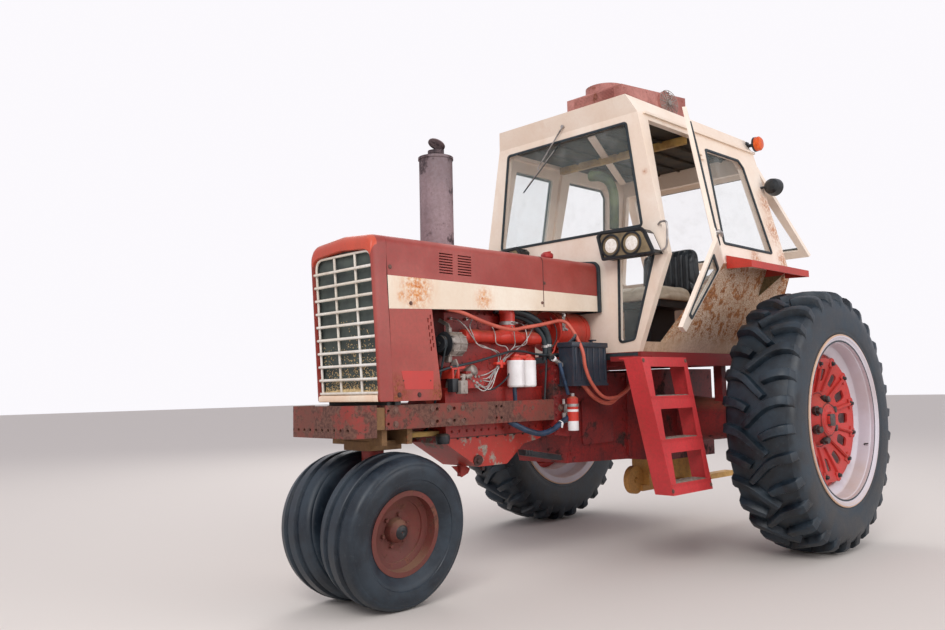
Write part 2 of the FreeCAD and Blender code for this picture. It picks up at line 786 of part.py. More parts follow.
def make_rear_tyre(side):
    facet_shrink = math.cos(math.pi / rear_tyre_facets)
    half = rear_tyre_width / 2
    bead = rear_rim_half_width - 5
    seat = (rear_rim_seat_radius + running_clearance) / facet_shrink
    flange = rear_rim_flange_radius - 4
    # half sections: distance from the middle plane, radius
    outer = [(half - 10, 744), (half, 680), (bead, flange), (bead, seat)]
    inner = [(bead - 26, seat), (half - 40, 700)]
    right_half = outer + inner
    left_half = [(-a, r) for a, r in reversed(right_half)]
    profile = [(0, tread_floor_radius)] + right_half + left_half
    pieces = [faceted_ring(profile, rear_tyre_facets)]
    # long and short bars take turns on each side, and a long one faces a short one
    pitch = 180 / bar_pairs_a_side
    for index in range(2 * bar_pairs_a_side):
        for outward in (1, -1):
            sections = long_bar if (index % 2 == 0) == (outward > 0) else short_bar
            pieces.append(make_tread_bar(sections, outward, bar_start_angle + index * pitch))
    tyre = fused(pieces)
    tyre.translate(Vector(rear_tyre_centre_x, 0, rear_tyre_radius))
    return tyre if side > 0 else mirrored(tyre)


def make_rear_rim(side):
    edge = rear_rim_half_width
    sheet = rear_rim_sheet
    top = rear_rim_flange_radius
    seat = rear_rim_seat_radius
    well = rear_rim_well_radius
    profile = [(-edge - 5, top), (-edge, top), (-edge, seat), (-105, seat), (-75, well), (60, well),
               (90, seat), (edge, seat), (edge, top), (edge + 5, top), (edge + 5, seat - sheet),
               (94, seat - sheet),
               (64, well - sheet), (-79, well - sheet), (-109, seat - sheet), (-edge - 5, seat - sheet)]
    rim = turned(profile, (rear_tyre_centre_x, 0, rear_tyre_radius))
    return rim if side > 0 else mirrored(rim)


disc_windows = 12
disc_window_width = 64
disc_window_inner_radius = 243
disc_window_outer_radius = 320
disc_sheet = 12
disc_dish = 70


def make_rear_disc(side):
    z = rear_tyre_radius
    start = rear_disc_x
    edge = rear_disc_radius
    reach = rear_rim_well_radius - rear_rim_sheet
    back = -50
    deep = -disc_dish
    # the outer face, dished inwards, then its turned edge, then the inner face: distance out, radius
    profile = [(deep, 90), (deep, 160), (0, edge - 20), (0, edge), (back, edge + 8), (back, reach),
               (back - disc_sheet, reach), (back - disc_sheet, edge - 4), (-disc_sheet, edge - disc_sheet),
               (-disc_sheet, edge - 20), (deep - disc_sheet, 160), (deep - disc_sheet, 90)]
    disc = turned(profile, (start, 0, z))
    # windows around the disc, the first at the top
    half = disc_window_width / 2
    low = z + disc_window_inner_radius
    high = z + disc_window_outer_radius
    outline = [(-half, low, 18), (half, low, 18), (half, high, 18), (-half, high, 18)]
    for index in range(disc_windows):
        window = side_slab(outline, start - 120, 240)
        window.rotate(Vector(start, 0, z), Vector(1, 0, 0), index * 360 / disc_windows)
        disc = disc.cut(window)
    face = start + 4
    cone = taper((start + deep - disc_sheet, 0, z), (face, 0, z), 172, 92)
    axle = rod((600, 0, z), (rear_axle_end_x, 0, z), rear_axle_radius)
    wheel = fused([disc, cone, axle])
    return wheel if side > 0 else mirrored(wheel)


def make_fender():
    inner_x = side_x(cab_kink_z + 10) + 2
    lip_x = fender_outer_x - fender_sheet
    lip_z = fender_outer_z - fender_lip
    top = [(inner_x, fender_inner_z), (fender_outer_x, fender_outer_z), (fender_outer_x, lip_z),
           (lip_x, lip_z), (lip_x, fender_outer_z - fender_sheet), (inner_x, fender_inner_z - fender_sheet)]
    shelf = front_slab(top, fender_front_y, fender_rear_y - fender_front_y)
    end = [(inner_x, fender_inner_z), (fender_outer_x, fender_outer_z), (fender_outer_x, lip_z),
           (inner_x, lip_z + 8)]
    plates = [front_slab(end, y, fender_sheet) for y in (fender_front_y, fender_rear_y - fender_sheet)]
    below_kink = box(0, cab_kink_half_width, fender_front_y - 1, fender_rear_y + 1, 0, cab_kink_z)
    shelf = fused([shelf] + plates).cut(below_kink)
    # gusset from the cab's side out to the lip
    rib_x = fender_outer_x - 30
    low_z = fender_outer_z - fender_gusset_height
    kink_x = side_x(cab_kink_z) + 2
    rib = [(kink_x, cab_kink_z), (inner_x, fender_inner_z - 2), (rib_x, fender_outer_z),
           (rib_x, fender_outer_z - 25), (side_x(low_z) + 2, low_z)]
    return fused([shelf, front_slab(rib, fender_gusset_y, fender_sheet)])


beam_bottom_z = 1175
beam_top_z = 1232


def make_platform():
    plate = box(-540, 540, cab_front_y, rear_y(cab_bottom_z) - 20, beam_top_z, cab_bottom_z)
    members = [box(-560, 560, y - 30, y + 30, beam_bottom_z, beam_top_z) for y in (-950, -40)]
    for middle in (560, -560):
        members.append(box(middle - 40, middle + 40, -1000, 0, beam_bottom_z, beam_top_z))
    for middle in (453, -453):
        members.append(box(middle - 84, middle + 84, -1105, cab_front_y + 60, 1203, beam_top_z))
    for middle in (120, -120):
        members.append(box(middle - 40, middle + 40, -990, -910, case_top_z, beam_bottom_z))
    return fused([plate] + members)


def ladder_x(z):
    share = (ladder_top_z - z) / (ladder_top_z - ladder_bottom_z)
    return ladder_top_x + share * (ladder_bottom_x - ladder_top_x)


def ladder_slab(points, depth):
    # outline of (y, z) points on the leaning face of the ladder
    return rounded_face(points, lambda a, b: Vector(ladder_x(b), a, b)).extrude(Vector(-depth, 0, 0))


def make_ladder():
    rear = ladder_front_y + ladder_top_length + 50
    low_front = rear - ladder_bottom_length
    top_rear = rear - 50
    plate = ladder_slab([(ladder_front_y, ladder_top_z), (top_rear, ladder_top_z), (rear, ladder_bottom_z),
                         (low_front, ladder_bottom_z)], 6)
    front_flank = [(ladder_front_y, ladder_top_z), (ladder_front_y + 8, ladder_top_z),
                   (low_front + 8, ladder_bottom_z), (low_front, ladder_bottom_z)]
    rear_flank = [(top_rear - 8, ladder_top_z), (top_rear, ladder_top_z), (rear, ladder_bottom_z),
                  (rear - 8, ladder_bottom_z)]
    flanks = [ladder_slab(points, ladder_depth) for points in (front_flank, rear_flank)]
    steps = []
    for z in ladder_step_heights:
        share = (ladder_top_z - z) / (ladder_top_z - ladder_bottom_z)
        start = ladder_front_y + share * (low_front - ladder_front_y) + 4
        end = top_rear + share * 50 - 4
        x = ladder_x(z)
        plate = plate.cut(box(x - 60, x + 60, start + 46, end - 46, z + 8, z + 175))
        steps.append(box(x - ladder_depth, x + 4, start, end, z, z + 8))
        steps.append(box(x - 8, x + 2, start, end, z - 52, z))
    top = box(600, ladder_top_x, ladder_front_y, top_rear, ladder_top_z - 10, ladder_top_z)
    bottom_cut = box(600, 1000, -2000, 0, 300, ladder_bottom_z)
    return fused([plate, top] + flanks + steps).cut(bottom_cut)


def cab_front_outline():
    points = [(side_x(cab_bottom_z), cab_bottom_z), (cab_kink_half_width, cab_kink_z),
              (side_x(cab_top_z), cab_top_z)]
    return points + [(-x, z) for x, z in reversed(points)]


def framed(low_z, high_z, low_margin, high_margin, radius):
    # an outline as wide as the cab less a margin on each side
    low_half = side_x(low_z) - low_margin
    high_half = side_x(high_z) - high_margin
    return [(-low_half, low_z, radius), (low_half, low_z, radius), (high_half, high_z, radius),
            (-high_half, high_z, radius)]


def upper_z(share):
    # a height in the upper part of the cab, from 0 at the kink line to 1 at the top
    return cab_kink_z + share * cab_upper_height


# glass openings: corner points with their corner radius
windshield_outline = framed(upper_z(0.2038), upper_z(0.9502), 128.3, 87.5, 30)
low_pane_outline = [(384, cab_bottom_z + 52, 35), (side_x(cab_bottom_z + 70) - 49.5, cab_bottom_z + 70, 35),
                    (side_x(cab_kink_z + 20) - 81, cab_kink_z + 20, 20), (400, cab_kink_z + 20, 20)]
quarter_outline = [(door_hinge_y + 52, upper_z(0.1462), 25),
                   (rear_y(upper_z(0.144)) - 193.5, upper_z(0.144), 25),
                   (rear_y(upper_z(0.8427)) - 242.5, upper_z(0.8427), 30),
                   (rear_y(upper_z(0.8981)) - 292, upper_z(0.8981), 30),
                   (door_hinge_y + 98, upper_z(0.8937), 20)]
door_upper_glass = [(cab_front_y + 138, upper_z(0.1052), 20), (door_hinge_y - 76, upper_z(0.1052), 20),
                    (door_hinge_y - 76, upper_z(0.8749), 20), (door_front_top_y + 64, upper_z(0.8749), 20)]
door_lower_glass = [(cab_front_y + 105, cab_kink_z - 65, 20), (door_hinge_y - 130, cab_kink_z - 65, 20),
                    (door_low_rear_y - 4, door_bottom_z + 85, 20),
                    (cab_front_y + 105, door_bottom_z + 85, 20)]


def grown(points, amount):
    # shrink or grow an outline about its middle by a nearly even amount
    middle_a = sum(p[0] for p in points) / len(points)
    middle_b = sum(p[1] for p in points) / len(points)
    span_a = max(p[0] for p in points) - min(p[0] for p in points)
    span_b = max(p[1] for p in points) - min(p[1] for p in points)
    scale_a = 1 + 2 * amount / span_a
    scale_b = 1 + 2 * amount / span_b
    moved = []
    for a, b, radius in points:
        moved.append((middle_a + (a - middle_a) * scale_a, middle_b + (b - middle_b) * scale_b, radius))
    return moved


def make_cab_front():
    wall = front_slab(cab_front_outline(), cab_front_y, cab_wall)
    wall = wall.cut(front_slab(windshield_outline, cab_front_y - 1, cab_wall + 2))
    pane = front_slab(low_pane_outline, cab_front_y - 1, cab_wall + 2)
    return wall.cut(pane).cut(mirrored(pane))


def hinge_axis_point(z):
    # the axis runs along the upper cab side, a little outside it
    x = cab_kink_half_width - (z - cab_kink_z) * cab_upper_lean + door_hinge_offset
    return Vector(x, door_hinge_y, z)


def hinge_span(low_z, high_z, radius):
    start = hinge_axis_point(low_z)
    axis = hinge_axis_point(high_z).sub(start)
    return Part.makeCylinder(radius, axis.Length, start, axis)


door_hinge_heights = (upper_z(0.2104), upper_z(0.7863))


def outside_cab_side(shape, z):
    # keep what stands between the cab's side and the outer edge of the hinge line near a height
    zone = [(-500, z - 100), (0, z - 100), (0, z + 200), (-500, z + 200)]
    return shape.common(cab_side_slab(zone, -door_hinge_offset - 5, door_hinge_offset + 5))


def make_cab_side():
    front = cab_front_y + cab_wall
    upper = cab_side_slab([(front, cab_kink_z), (rear_y(cab_kink_z), cab_kink_z),
                           (rear_y(cab_top_z), cab_top_z), (front, cab_top_z)], 0, cab_wall)
    door_hole = side_opening([(front - 5, cab_kink_z - 1), (door_hinge_y, cab_kink_z - 1),
                              (door_hinge_y, door_top_z), (door_front_top_y, door_top_z),
                              (front, cab_kink_z + 150)])
    upper = upper.cut(door_hole).cut(side_opening(quarter_outline))
    hinges = []
    for z in door_hinge_heights:
        bracket = box(300, 900, door_hinge_y + 3, door_hinge_y + 34, z, z + 22)
        hinges.append(outside_cab_side(bracket, z))
        hinges.append(outside_cab_side(hinge_span(z, z + 22, hinge_barrel_radius), z))
        hinges.append(hinge_span(z, z + 64, hinge_pin_radius))
    return fused([upper] + hinges)


def make_lower_side():
    front = cab_front_y + cab_wall
    outline = [(front, cab_bottom_z), (front, door_bottom_z), (door_low_rear_y, door_bottom_z),
               (door_hinge_y, cab_kink_z), (rear_y(cab_kink_z), cab_kink_z),
               (rear_y(cab_bottom_z), cab_bottom_z)]
    return cab_side_slab(outline, 0, cab_wall)


window_hinge_y = rear_y(rear_window_hinge_z) + 14
window_hinge_places = (-440, 380)


def window_hinge_span(x0, x1, radius):
    z = rear_window_hinge_z
    return rod((x0, window_hinge_y, z), (x1, window_hinge_y, z), radius)


def make_cab_rear():
    inner = cab_wall
    points = [(side_x(cab_bottom_z) - inner, cab_bottom_z), (cab_kink_half_width - inner, cab_kink_z),
              (side_x(cab_top_z) - inner, cab_top_z)]
    outline = points + [(-x, z) for x, z in reversed(points)]
    wall = cab_rear_slab(outline, 0, cab_wall)
    low, high = rear_window_bottom_z + 45, rear_window_hinge_z - 45
    low_half, high_half = side_x(low) - inner - 30, side_x(high) - inner - 30
    hole = cab_rear_slab([(-low_half, low, 25), (low_half, low, 25),
                          (high_half, high, 25), (-high_half, high, 25)], -20, cab_wall + 60)
    wall = wall.cut(hole)
    z = rear_window_hinge_z
    inside = cab_rear_slab([(-700, z - 155), (700, z - 155), (700, z + 145), (-700, z + 145)], 0, 400)
    hinges = []
    for x in window_hinge_places:
        bracket = box(x, x + 20, window_hinge_y - 60, window_hinge_y, z - 10, z + 10)
        hinges.append(bracket.cut(inside))
        hinges.append(window_hinge_span(x, x + 20, hinge_barrel_radius))
        hinges.append(window_hinge_span(x, x + 60, hinge_pin_radius))
    return fused([wall] + hinges)


def level_outline(z, half_x, y0, y1):
    return [(-half_x, y0, z), (half_x, y0, z), (half_x, y1, z), (-half_x, y1, z)]


def make_roof():
    half = side_x(cab_top_z)
    top_half = half - roof_side_lean
    front, rear = cab_front_y, cab_rear_top_y
    top_front = front - roof_visor
    top_z = cab_top_z + roof_height
    edge = roof_sheet + 15
    bottom_level = level_outline(cab_top_z, half, front, rear)
    top_level = level_outline(top_z, top_half, top_front, rear - 20)
    crown_level = level_outline(top_z + roof_crown, top_half - 90, top_front + 90, rear - 110)
    inner_low = level_outline(cab_top_z - 1, half - edge, front + edge, rear - edge)
    inner_high = level_outline(top_z - roof_sheet, top_half - roof_sheet, front + 10, rear - 20 - roof_sheet)
    inner = loft([inner_low, inner_high])
    drips = []
    for middle in (half + 6, -half - 6):
        drips.append(box(middle - 8, middle + 8, front + 60, rear, cab_top_z, cab_top_z + 10))
    return fused([loft([bottom_level, top_level]), loft([top_level, crown_level])] + drips).cut(inner)


def make_cab_glass():
    panes = [front_slab(grown(windshield_outline, -glass_gap), cab_front_y + 14, glass_thickness)]
    low = front_slab(grown(low_pane_outline, -glass_gap), cab_front_y + 14, glass_thickness)
    quarter = cab_side_slab(grown(quarter_outline, -glass_gap), 14, glass_thickness)
    for pane in (low, quarter):
        panes += [pane, mirrored(pane)]
    return Part.makeCompound(panes)


def swing_door(shape, side, opened):
    low = hinge_axis_point(cab_kink_z)
    axis = hinge_axis_point(cab_top_z).sub(low)
    if opened:
        shape.rotate(low, axis, door_open_angle)
    return shape if side > 0 else mirrored(shape)


def make_door(side, opened):
    front = cab_front_y + cab_wall + door_gap
    hinge = door_hinge_y - door_gap
    top = door_top_z - door_gap
    upper = cab_side_slab([(front, cab_kink_z), (hinge, cab_kink_z), (hinge, top),
                           (door_front_top_y + door_gap, top), (front, cab_kink_z + 150)], 0, door_leaf)
    slope = (door_hinge_y - door_low_rear_y) / (cab_kink_z - door_bottom_z)
    low_rear = door_low_rear_y + slope * door_gap - door_gap * 1.6
    lower = cab_side_slab([(front, door_bottom_z + door_gap), (low_rear, door_bottom_z + door_gap),
                           (hinge - door_gap * 0.6, cab_kink_z), (front, cab_kink_z)], 0, door_leaf)
    leaf = fused([upper, lower])
    leaf = leaf.cut(side_opening(door_upper_glass)).cut(side_opening(door_lower_glass))
    knuckles = []
    for z in door_hinge_heights:
        strap = outside_cab_side(box(300, 900, door_hinge_y - 40, door_hinge_y - 3, z + 24, z + 62), z)
        knuckle = fused([strap, hinge_span(z + 24, z + 62, hinge_barrel_radius)])
        knuckles.append(knuckle.cut(hinge_span(z - 50, z + 150, hinge_pin_radius + running_clearance)))
    return swing_door(fused([leaf] + knuckles), side, opened)


def make_door_glass(side, opened):
    panes = []
    for outline in (door_upper_glass, door_lower_glass):
        panes.append(cab_side_slab(grown(outline, -glass_gap), 14, glass_thickness))
    return swing_door(Part.makeCompound(panes), side, opened)


def make_rear_window():
    low, high = rear_window_bottom_z, rear_window_hinge_z - 20
    low_half, high_half = side_x(low) - 20, side_x(high) - 20
    rim = rear_window_rim
    frame = cab_rear_slab([(-low_half, low), (low_half, low), (high_half, high), (-high_half, high)],
                          -rear_window_leaf - window_seal_gap, rear_window_leaf)
    opening = [(-low_half + rim, low + rim, 15), (low_half - rim, low + rim, 15),
               (high_half - rim, high - rim, 15), (-high_half + rim, high - rim, 15)]
    frame = frame.cut(cab_rear_slab(opening, -100, 200))
    pane = cab_rear_slab(grown(opening, -glass_gap), -rear_window_leaf + 6, glass_thickness)
    barrels = []
    z = rear_window_hinge_z
    for x in window_hinge_places:
        strap = box(x + 22, x + 58, window_hinge_y - 7, window_hinge_y + 7, z - 30, z)
        barrel = window_hinge_span(x + 22, x + 58, hinge_barrel_radius)
        pin = window_hinge_span(x, x + 70, hinge_pin_radius + running_clearance)
        barrels.append(fused([strap, barrel]).cut(pin))
    return fused([frame] + barrels), pane


def make_headlamp():
    front = cab_front_y - 100
    back = cab_front_y - 55
    kink = cab_kink_z
    outline = [(326, kink + 145), (352, kink + 169), (642, kink + 153), (664, kink + 134), (724, kink - 2),
               (360, kink + 2)]
    shell = front_slab(outline, front, cab_front_y - front)
    lamps = []
    for x, z in ((422, kink + 78), (572, kink + 75)):
        shell = shell.cut(rod((x, front - 1, z), (x, back, z), 62))
        lamps.append(rod((x, front + 20, z), (x, back, z), 58))
    return fused([shell] + lamps)


def make_cab_lamps():
    amber_z = cab_top_z + 67
    y = cab_rear_top_y - 25
    work_y = y - 25
    roof_side = side_x(cab_top_z) - roof_side_lean * (amber_z - 14 - cab_top_z) / roof_height
    lamp_x = roof_side + 45
    stem = rod((roof_side + running_clearance, y, amber_z), (lamp_x, y, amber_z), 14)
    amber = rod((lamp_x, y, amber_z), (lamp_x + 46, y, amber_z), 42)
    work_z = cab_top_z - 258
    foot_x = side_x(work_z - 15)
    work_x = foot_x + 92
    work_arm = rod((foot_x + running_clearance, work_y + 40, work_z - 5), (work_x, work_y + 60, work_z), 10)
    work = rod((work_x, work_y + 30, work_z), (work_x, work_y + 120, work_z), 58)
    return Part.makeCompound([fused([stem, amber]), fused([work_arm, work])])


def make_roof_unit():
    roof_z = cab_top_z + roof_height + roof_crown
    front = cab_front_y + 50
    rear = front + 760
    body = side_slab([(front, roof_z), (front, roof_z + 103), (rear, roof_z + 183), (rear, roof_z)], 0, 440)
    dome = rod((118, front + 280, roof_z + 103), (118, front + 280, roof_z + 218), 138)
    fan = rod((440, front + 500, roof_z + 88), (452, front + 500, roof_z + 88), 82)
    return fused([body, dome, fan])


def make_seat_base():
    post = box(-110, 110, -260, 60, cab_bottom_z, 1600)
    pan = box(-220, 220, -300, 110, 1600, 1650)
    back_post = box(-60, 60, 110, 150, 1600, 1800)
    return fused([post, pan, back_post])


def make_seat_cushion():
    return flat_slab([(-250, -330, 60), (250, -330, 60), (250, 108, 40), (-250, 108, 40)], 1650.3, 115)


def make_seat_back():
    front = 150 + running_clearance
    return flat_slab([(-255, front), (255, front), (255, 225, 30), (-255, 225, 30)], 1700, 370)


def make_steering_column():
    base = (0, -905, cab_bottom_z + 180)
    top = (0, -590, 1960)
    console = box(-150, 150, -985, -820, cab_bottom_z, 1840)
    column = rod(base, top, 35)
    rim = Part.makeTorus(205, 15)
    spokes = [rod((0, 0, -10), (205 * math.cos(a), 205 * math.sin(a), 0), 9) for a in (0.5, 2.6, 4.71)]
    hub = rod((0, 0, -20), (0, 0, 14), 32)
    wheel = fused([rim, hub] + spokes)
    wheel.rotate(Vector(0, 0, 0), Vector(1, 0, 0), 25)
    wheel.translate(Vector(*top))
    return fused([console, column, wheel])


def build():
    nodes = {}
    nodes["front_bracket"] = make_front_bracket()
    nodes["side_rails"] = make_side_rails()
    nodes["front_bolster"] = make_front_bolster()
    nodes["front_pedestal"] = make_front_pedestal()
    nodes["radiator"] = make_radiator()
    nodes["nose_shell"] = make_nose_shell()
    nodes["grille"] = make_grille()
    nodes["hood"] = make_hood()
    nodes["stripe_panels"] = make_stripe_panels()
    nodes["nose_side_panels"] = make_nose_side_panels()
    nodes["engine"] = make_engine()
    nodes["oil_pan"] = make_oil_pan()
    nodes["intake_manifold"] = make_intake_manifold()
    nodes["muffler"] = make_muffler()
    nodes["alternator"] = make_alternator()
    nodes["fuel_filters"] = make_fuel_filters()
    nodes["injection_pump"] = make_injection_pump()
    nodes["air_cleaner"] = make_air_cleaner()
    nodes["battery_box"] = make_battery_box()
    nodes["starting_fluid_can"] = make_starting_fluid_can()
    nodes["transmission_case"] = make_transmission_case()
    nodes["rear_axle_housings"] = make_rear_axle_housing()
    nodes["drawbar"] = make_drawbar()
    nodes["platform"] = make_platform()
    nodes["ladder"] = make_ladder()
    nodes["cab_front"] = make_cab_front()
    nodes["cab_rear"] = make_cab_rear()
    nodes["cab_sides"] = pair(make_cab_side())
    nodes["lower_sides"] = pair(make_lower_side())
    nodes["fenders"] = pair(make_fender())
    nodes["headlamps"] = pair(make_headlamp())
    nodes["roof"] = make_roof()
    nodes["roof_unit"] = make_roof_unit()
    nodes["cab_glass"] = make_cab_glass()
    nodes["cab_lamps"] = make_cab_lamps()
    nodes["seat_base"] = make_seat_base()
    nodes["seat_cushion"] = make_seat_cushion()
    nodes["seat_back"] = make_seat_back()
    nodes["steering_column"] = make_steering_column()
    frame, pane = make_rear_window()
    swing_low = Vector(0, window_hinge_y, rear_window_hinge_z)
    for name, shape in (("rear_window_frame", frame), ("rear_window_glass", pane)):
        shape.rotate(swing_low, Vector(1, 0, 0), rear_window_open_angle)
        nodes[name] = shape
    for side, word in ((1, "left"), (-1, "right")):
        nodes["front_tyre_" + word] = make_front_tyre(side)
        nodes["front_rim_" + word] = make_front_rim(side)
        nodes["rear_tyre_" + word] = make_rear_tyre(side)
        nodes["rear_rim_" + word] = make_rear_rim(side)
        nodes["rear_disc_" + word] = make_rear_disc(side)
        opened = side > 0
        nodes["door_" + word] = make_door(side, opened)
        nodes["door_glass_" + word] = make_door_glass(side, opened)
    return nodes


nodes = build()
whole = Part.makeCompound(list(nodes.values()))
extent = whole.optimalBoundingBox(True, False)
origin_shift = Vector(0, -(extent.YMin + extent.YMax) / 2, 0)
os.makedirs("parts", exist_ok=True)
for name, shape in nodes.items():
    shape.translate(origin_shift)
    shape.exportStep("parts/" + name + ".step")
print(len(nodes), "nodes", "shift", origin_shift.y, "extent", extent)
for name, shape in nodes.items():
    if not shape.isValid():
        print("not valid", name)
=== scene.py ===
import json
import math
import random
import bmesh
import bpy
from mathutils import Matrix, Vector


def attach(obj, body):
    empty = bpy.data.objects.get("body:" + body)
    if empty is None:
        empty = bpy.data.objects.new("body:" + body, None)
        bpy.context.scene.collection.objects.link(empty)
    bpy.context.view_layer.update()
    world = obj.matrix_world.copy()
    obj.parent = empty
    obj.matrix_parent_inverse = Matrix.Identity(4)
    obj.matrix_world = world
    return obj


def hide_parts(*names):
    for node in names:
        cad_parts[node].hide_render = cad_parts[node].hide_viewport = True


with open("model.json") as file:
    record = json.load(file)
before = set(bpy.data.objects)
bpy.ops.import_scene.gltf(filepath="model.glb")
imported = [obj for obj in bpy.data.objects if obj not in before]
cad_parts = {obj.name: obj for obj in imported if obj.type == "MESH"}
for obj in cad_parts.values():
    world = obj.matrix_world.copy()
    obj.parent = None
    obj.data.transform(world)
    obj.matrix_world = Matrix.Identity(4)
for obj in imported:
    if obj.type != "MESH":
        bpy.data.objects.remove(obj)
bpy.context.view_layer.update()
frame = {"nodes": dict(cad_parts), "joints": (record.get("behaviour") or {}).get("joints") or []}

cadNode = frame["nodes"]
joint = {j["name"]: j for j in frame["joints"]}
axleY = joint["rear_wheel_left_spin"]["pos_m"][1]   # the rear axle's place along the tractor
print("frame loaded,", len(cadNode), "nodes")


def at(x, y, z):
    # x across to the driver's left, y back from the rear axle, z up, in metres
    return Vector((x, y + axleY, z))


def srgb(r, g, b):
    # a colour as seen on screen, 0 to 255, made linear
    linear = []
    for value in (r, g, b):
        share = value / 255
        linear.append(share / 12.92 if share < 0.04 else ((share + 0.055) / 1.055) ** 2.4)
    return (*linear, 1.0)


# camera, at the place and angle the tractor is seen from
cameraLook = {
    "place": at(3.435, -5.319, 1.053),
    "yaw": 45.259,      # degrees left of straight back
    "pitch": 5.048,
    "roll": 1.252,
    "lens": 32.085,     # mm on a 36 mm wide sensor
}


def addCamera(look):
    yaw, pitch, roll = (math.radians(look[key]) for key in ("yaw", "pitch", "roll"))
    ahead = Vector((-math.sin(yaw) * math.cos(pitch), math.cos(yaw) * math.cos(pitch), math.sin(pitch)))
    right = ahead.cross(Vector((0, 0, 1))).normalized()
    up = right.cross(ahead)
    tiltedRight = right * math.cos(roll) - up * math.sin(roll)
    tiltedUp = right * math.sin(roll) + up * math.cos(roll)
    data = bpy.data.cameras.new("camera")
    data.lens = look["lens"]
    data.sensor_width = 36
    data.sensor_fit = "HORIZONTAL"
    camera = bpy.data.objects.new("camera", data)
    turn = Matrix((tiltedRight, tiltedUp, -ahead)).transposed().to_4x4()
    camera.matrix_world = Matrix.Translation(look["place"]) @ turn
    bpy.context.scene.collection.objects.link(camera)
    bpy.context.scene.camera = camera


addCamera(cameraLook)
print("camera placed")


# mesh helpers: each adds to a bmesh, so that many small things make one piece

def addBox(bm, low, high, edge=0.0, turn=None, paint=0):
    made = bmesh.ops.create_cube(bm, size=1)["verts"]
    for vert in made:
        vert.co = Vector([low[i] + (vert.co[i] + 0.5) * (high[i] - low[i]) for i in range(3)])
        for face in vert.link_faces:
            face.material_index = paint
    if turn is not None:
        bmesh.ops.transform(bm, matrix=turn, verts=made)
    if edge > 0:
        edges = list({e for v in made for e in v.link_edges})
        bmesh.ops.bevel(bm, geom=edges, offset=edge, segments=2, profile=0.5, affect="EDGES")


def sideways(direction):
    # two directions across a line
    direction = Vector(direction).normalized()
    spare = Vector((0, 0, 1)) if abs(direction.z) < 0.9 else Vector((0, 1, 0))
    first = direction.cross(spare).normalized()
    return first, direction.cross(first).normalized()


def addTube(bm, points, radius, sides=12, closed=False, paint=0, flat=1.0):
    # a round bar along points, radius may be a list with one value a point
    points = [Vector(p) for p in points]
    count = len(points)
    radii = radius if isinstance(radius, (list, tuple)) else [radius] * count
    rings = []
    across = None
    for i in range(count):
        before = points[i - 1] if i > 0 or closed else points[i]
        after = points[(i + 1) % count] if i < count - 1 or closed else points[i]
        along = (after - before).normalized()
        if across is None:
            across = sideways(along)[0]
        across = (across - along * across.dot(along)).normalized()
        upward = along.cross(across)
        ring = []
        for k in range(sides):
            turn = 2 * math.pi * k / sides
            out = across * math.cos(turn) * flat + upward * math.sin(turn)
            ring.append(bm.verts.new(points[i] + out * radii[i]))
        rings.append(ring)
    spans = list(zip(rings, rings[1:])) + ([(rings[-1], rings[0])] if closed else [])
    made = []
    for first, second in spans:
        for k in range(sides):
            made.append(bm.faces.new((first[k], first[(k + 1) % sides],
                                      second[(k + 1) % sides], second[k])))
    if not closed:
        made.append(bm.faces.new(list(reversed(rings[0]))))
        made.append(bm.faces.new(rings[-1]))
    for face in made:
        face.material_index = paint


def addTurned(bm, profile, centre, axis, steps=64, paint=0, closed=True):
    # (distance along the axis, radius) points turned about it
    axis = Vector(axis).normalized()
    first, second = sideways(axis)
    rings = []
    for k in range(steps):
        turn = 2 * math.pi * k / steps
        out = first * math.cos(turn) + second * math.sin(turn)
        rings.append([bm.verts.new(Vector(centre) + axis * a + out * max(r, 0.0001)) for a, r in profile])
    count = len(profile)
    for k in range(steps):
        here, following = rings[k], rings[(k + 1) % steps]
        for i in range(count if closed else count - 1):
            j = (i + 1) % count
            face = bm.faces.new((here[i], here[j], following[j], following[i]))
            face.material_index = paint


def addPlate(bm, outline, place, depth, edge=0.0, paint=0):
    # outline of flat (a, b) points, put in space by place, given thickness by the vector depth
    low = [bm.verts.new(place(a, b)) for a, b in outline]
    high = [bm.verts.new(v.co + Vector(depth)) for v in low]
    total = len(low)
    cap = bm.faces.new(high)
    made = [cap, bm.faces.new(list(reversed(low)))]
    for i in range(total):
        j = (i + 1) % total
        made.append(bm.faces.new((low[i], low[j], high[j], high[i])))
    for face in made:
        face.material_index = paint
    if edge > 0:
        bmesh.ops.bevel(bm, geom=list(cap.edges), offset=edge, segments=2, profile=0.5, affect="EDGES")


def addBolt(bm, centre, out, radius=0.009, height=0.007, paint=0):
    # a six sided head on a washer
    out = Vector(out).normalized()
    centre = Vector(centre)
    addTube(bm, [centre, centre + out * 0.0015], radius * 1.35, 16, paint=paint)
    addTube(bm, [centre + out * 0.001, centre + out * height * 0.8, centre + out * height],
            [radius, radius, radius * 0.86], 6, paint=paint)


def addStrip(bm, line, depth, lift, centre, sink=0.001, paint=0):
    # a flat band on a surface: depth runs along its width, lift is how far it stands off, away from centre
    line = [Vector(p) for p in line]
    depth = Vector(depth)
    rings = []
    for i, point in enumerate(line):
        along = line[min(i + 1, len(line) - 1)] - line[max(i - 1, 0)]
        out = along.cross(depth).normalized()
        if out.dot(point - Vector(centre)) < 0:
            out = -out
        rings.append([bm.verts.new(p) for p in (point - out * sink, point + out * lift,
                                                point + out * lift + depth, point - out * sink + depth)])
    made = [bm.faces.new(rings[0]), bm.faces.new(rings[-1])]
    for first, second in zip(rings, rings[1:]):
        for k in range(4):
            made.append(bm.faces.new((first[k], first[(k + 1) % 4], second[(k + 1) % 4], second[k])))
    for face in made:
        face.material_index = paint


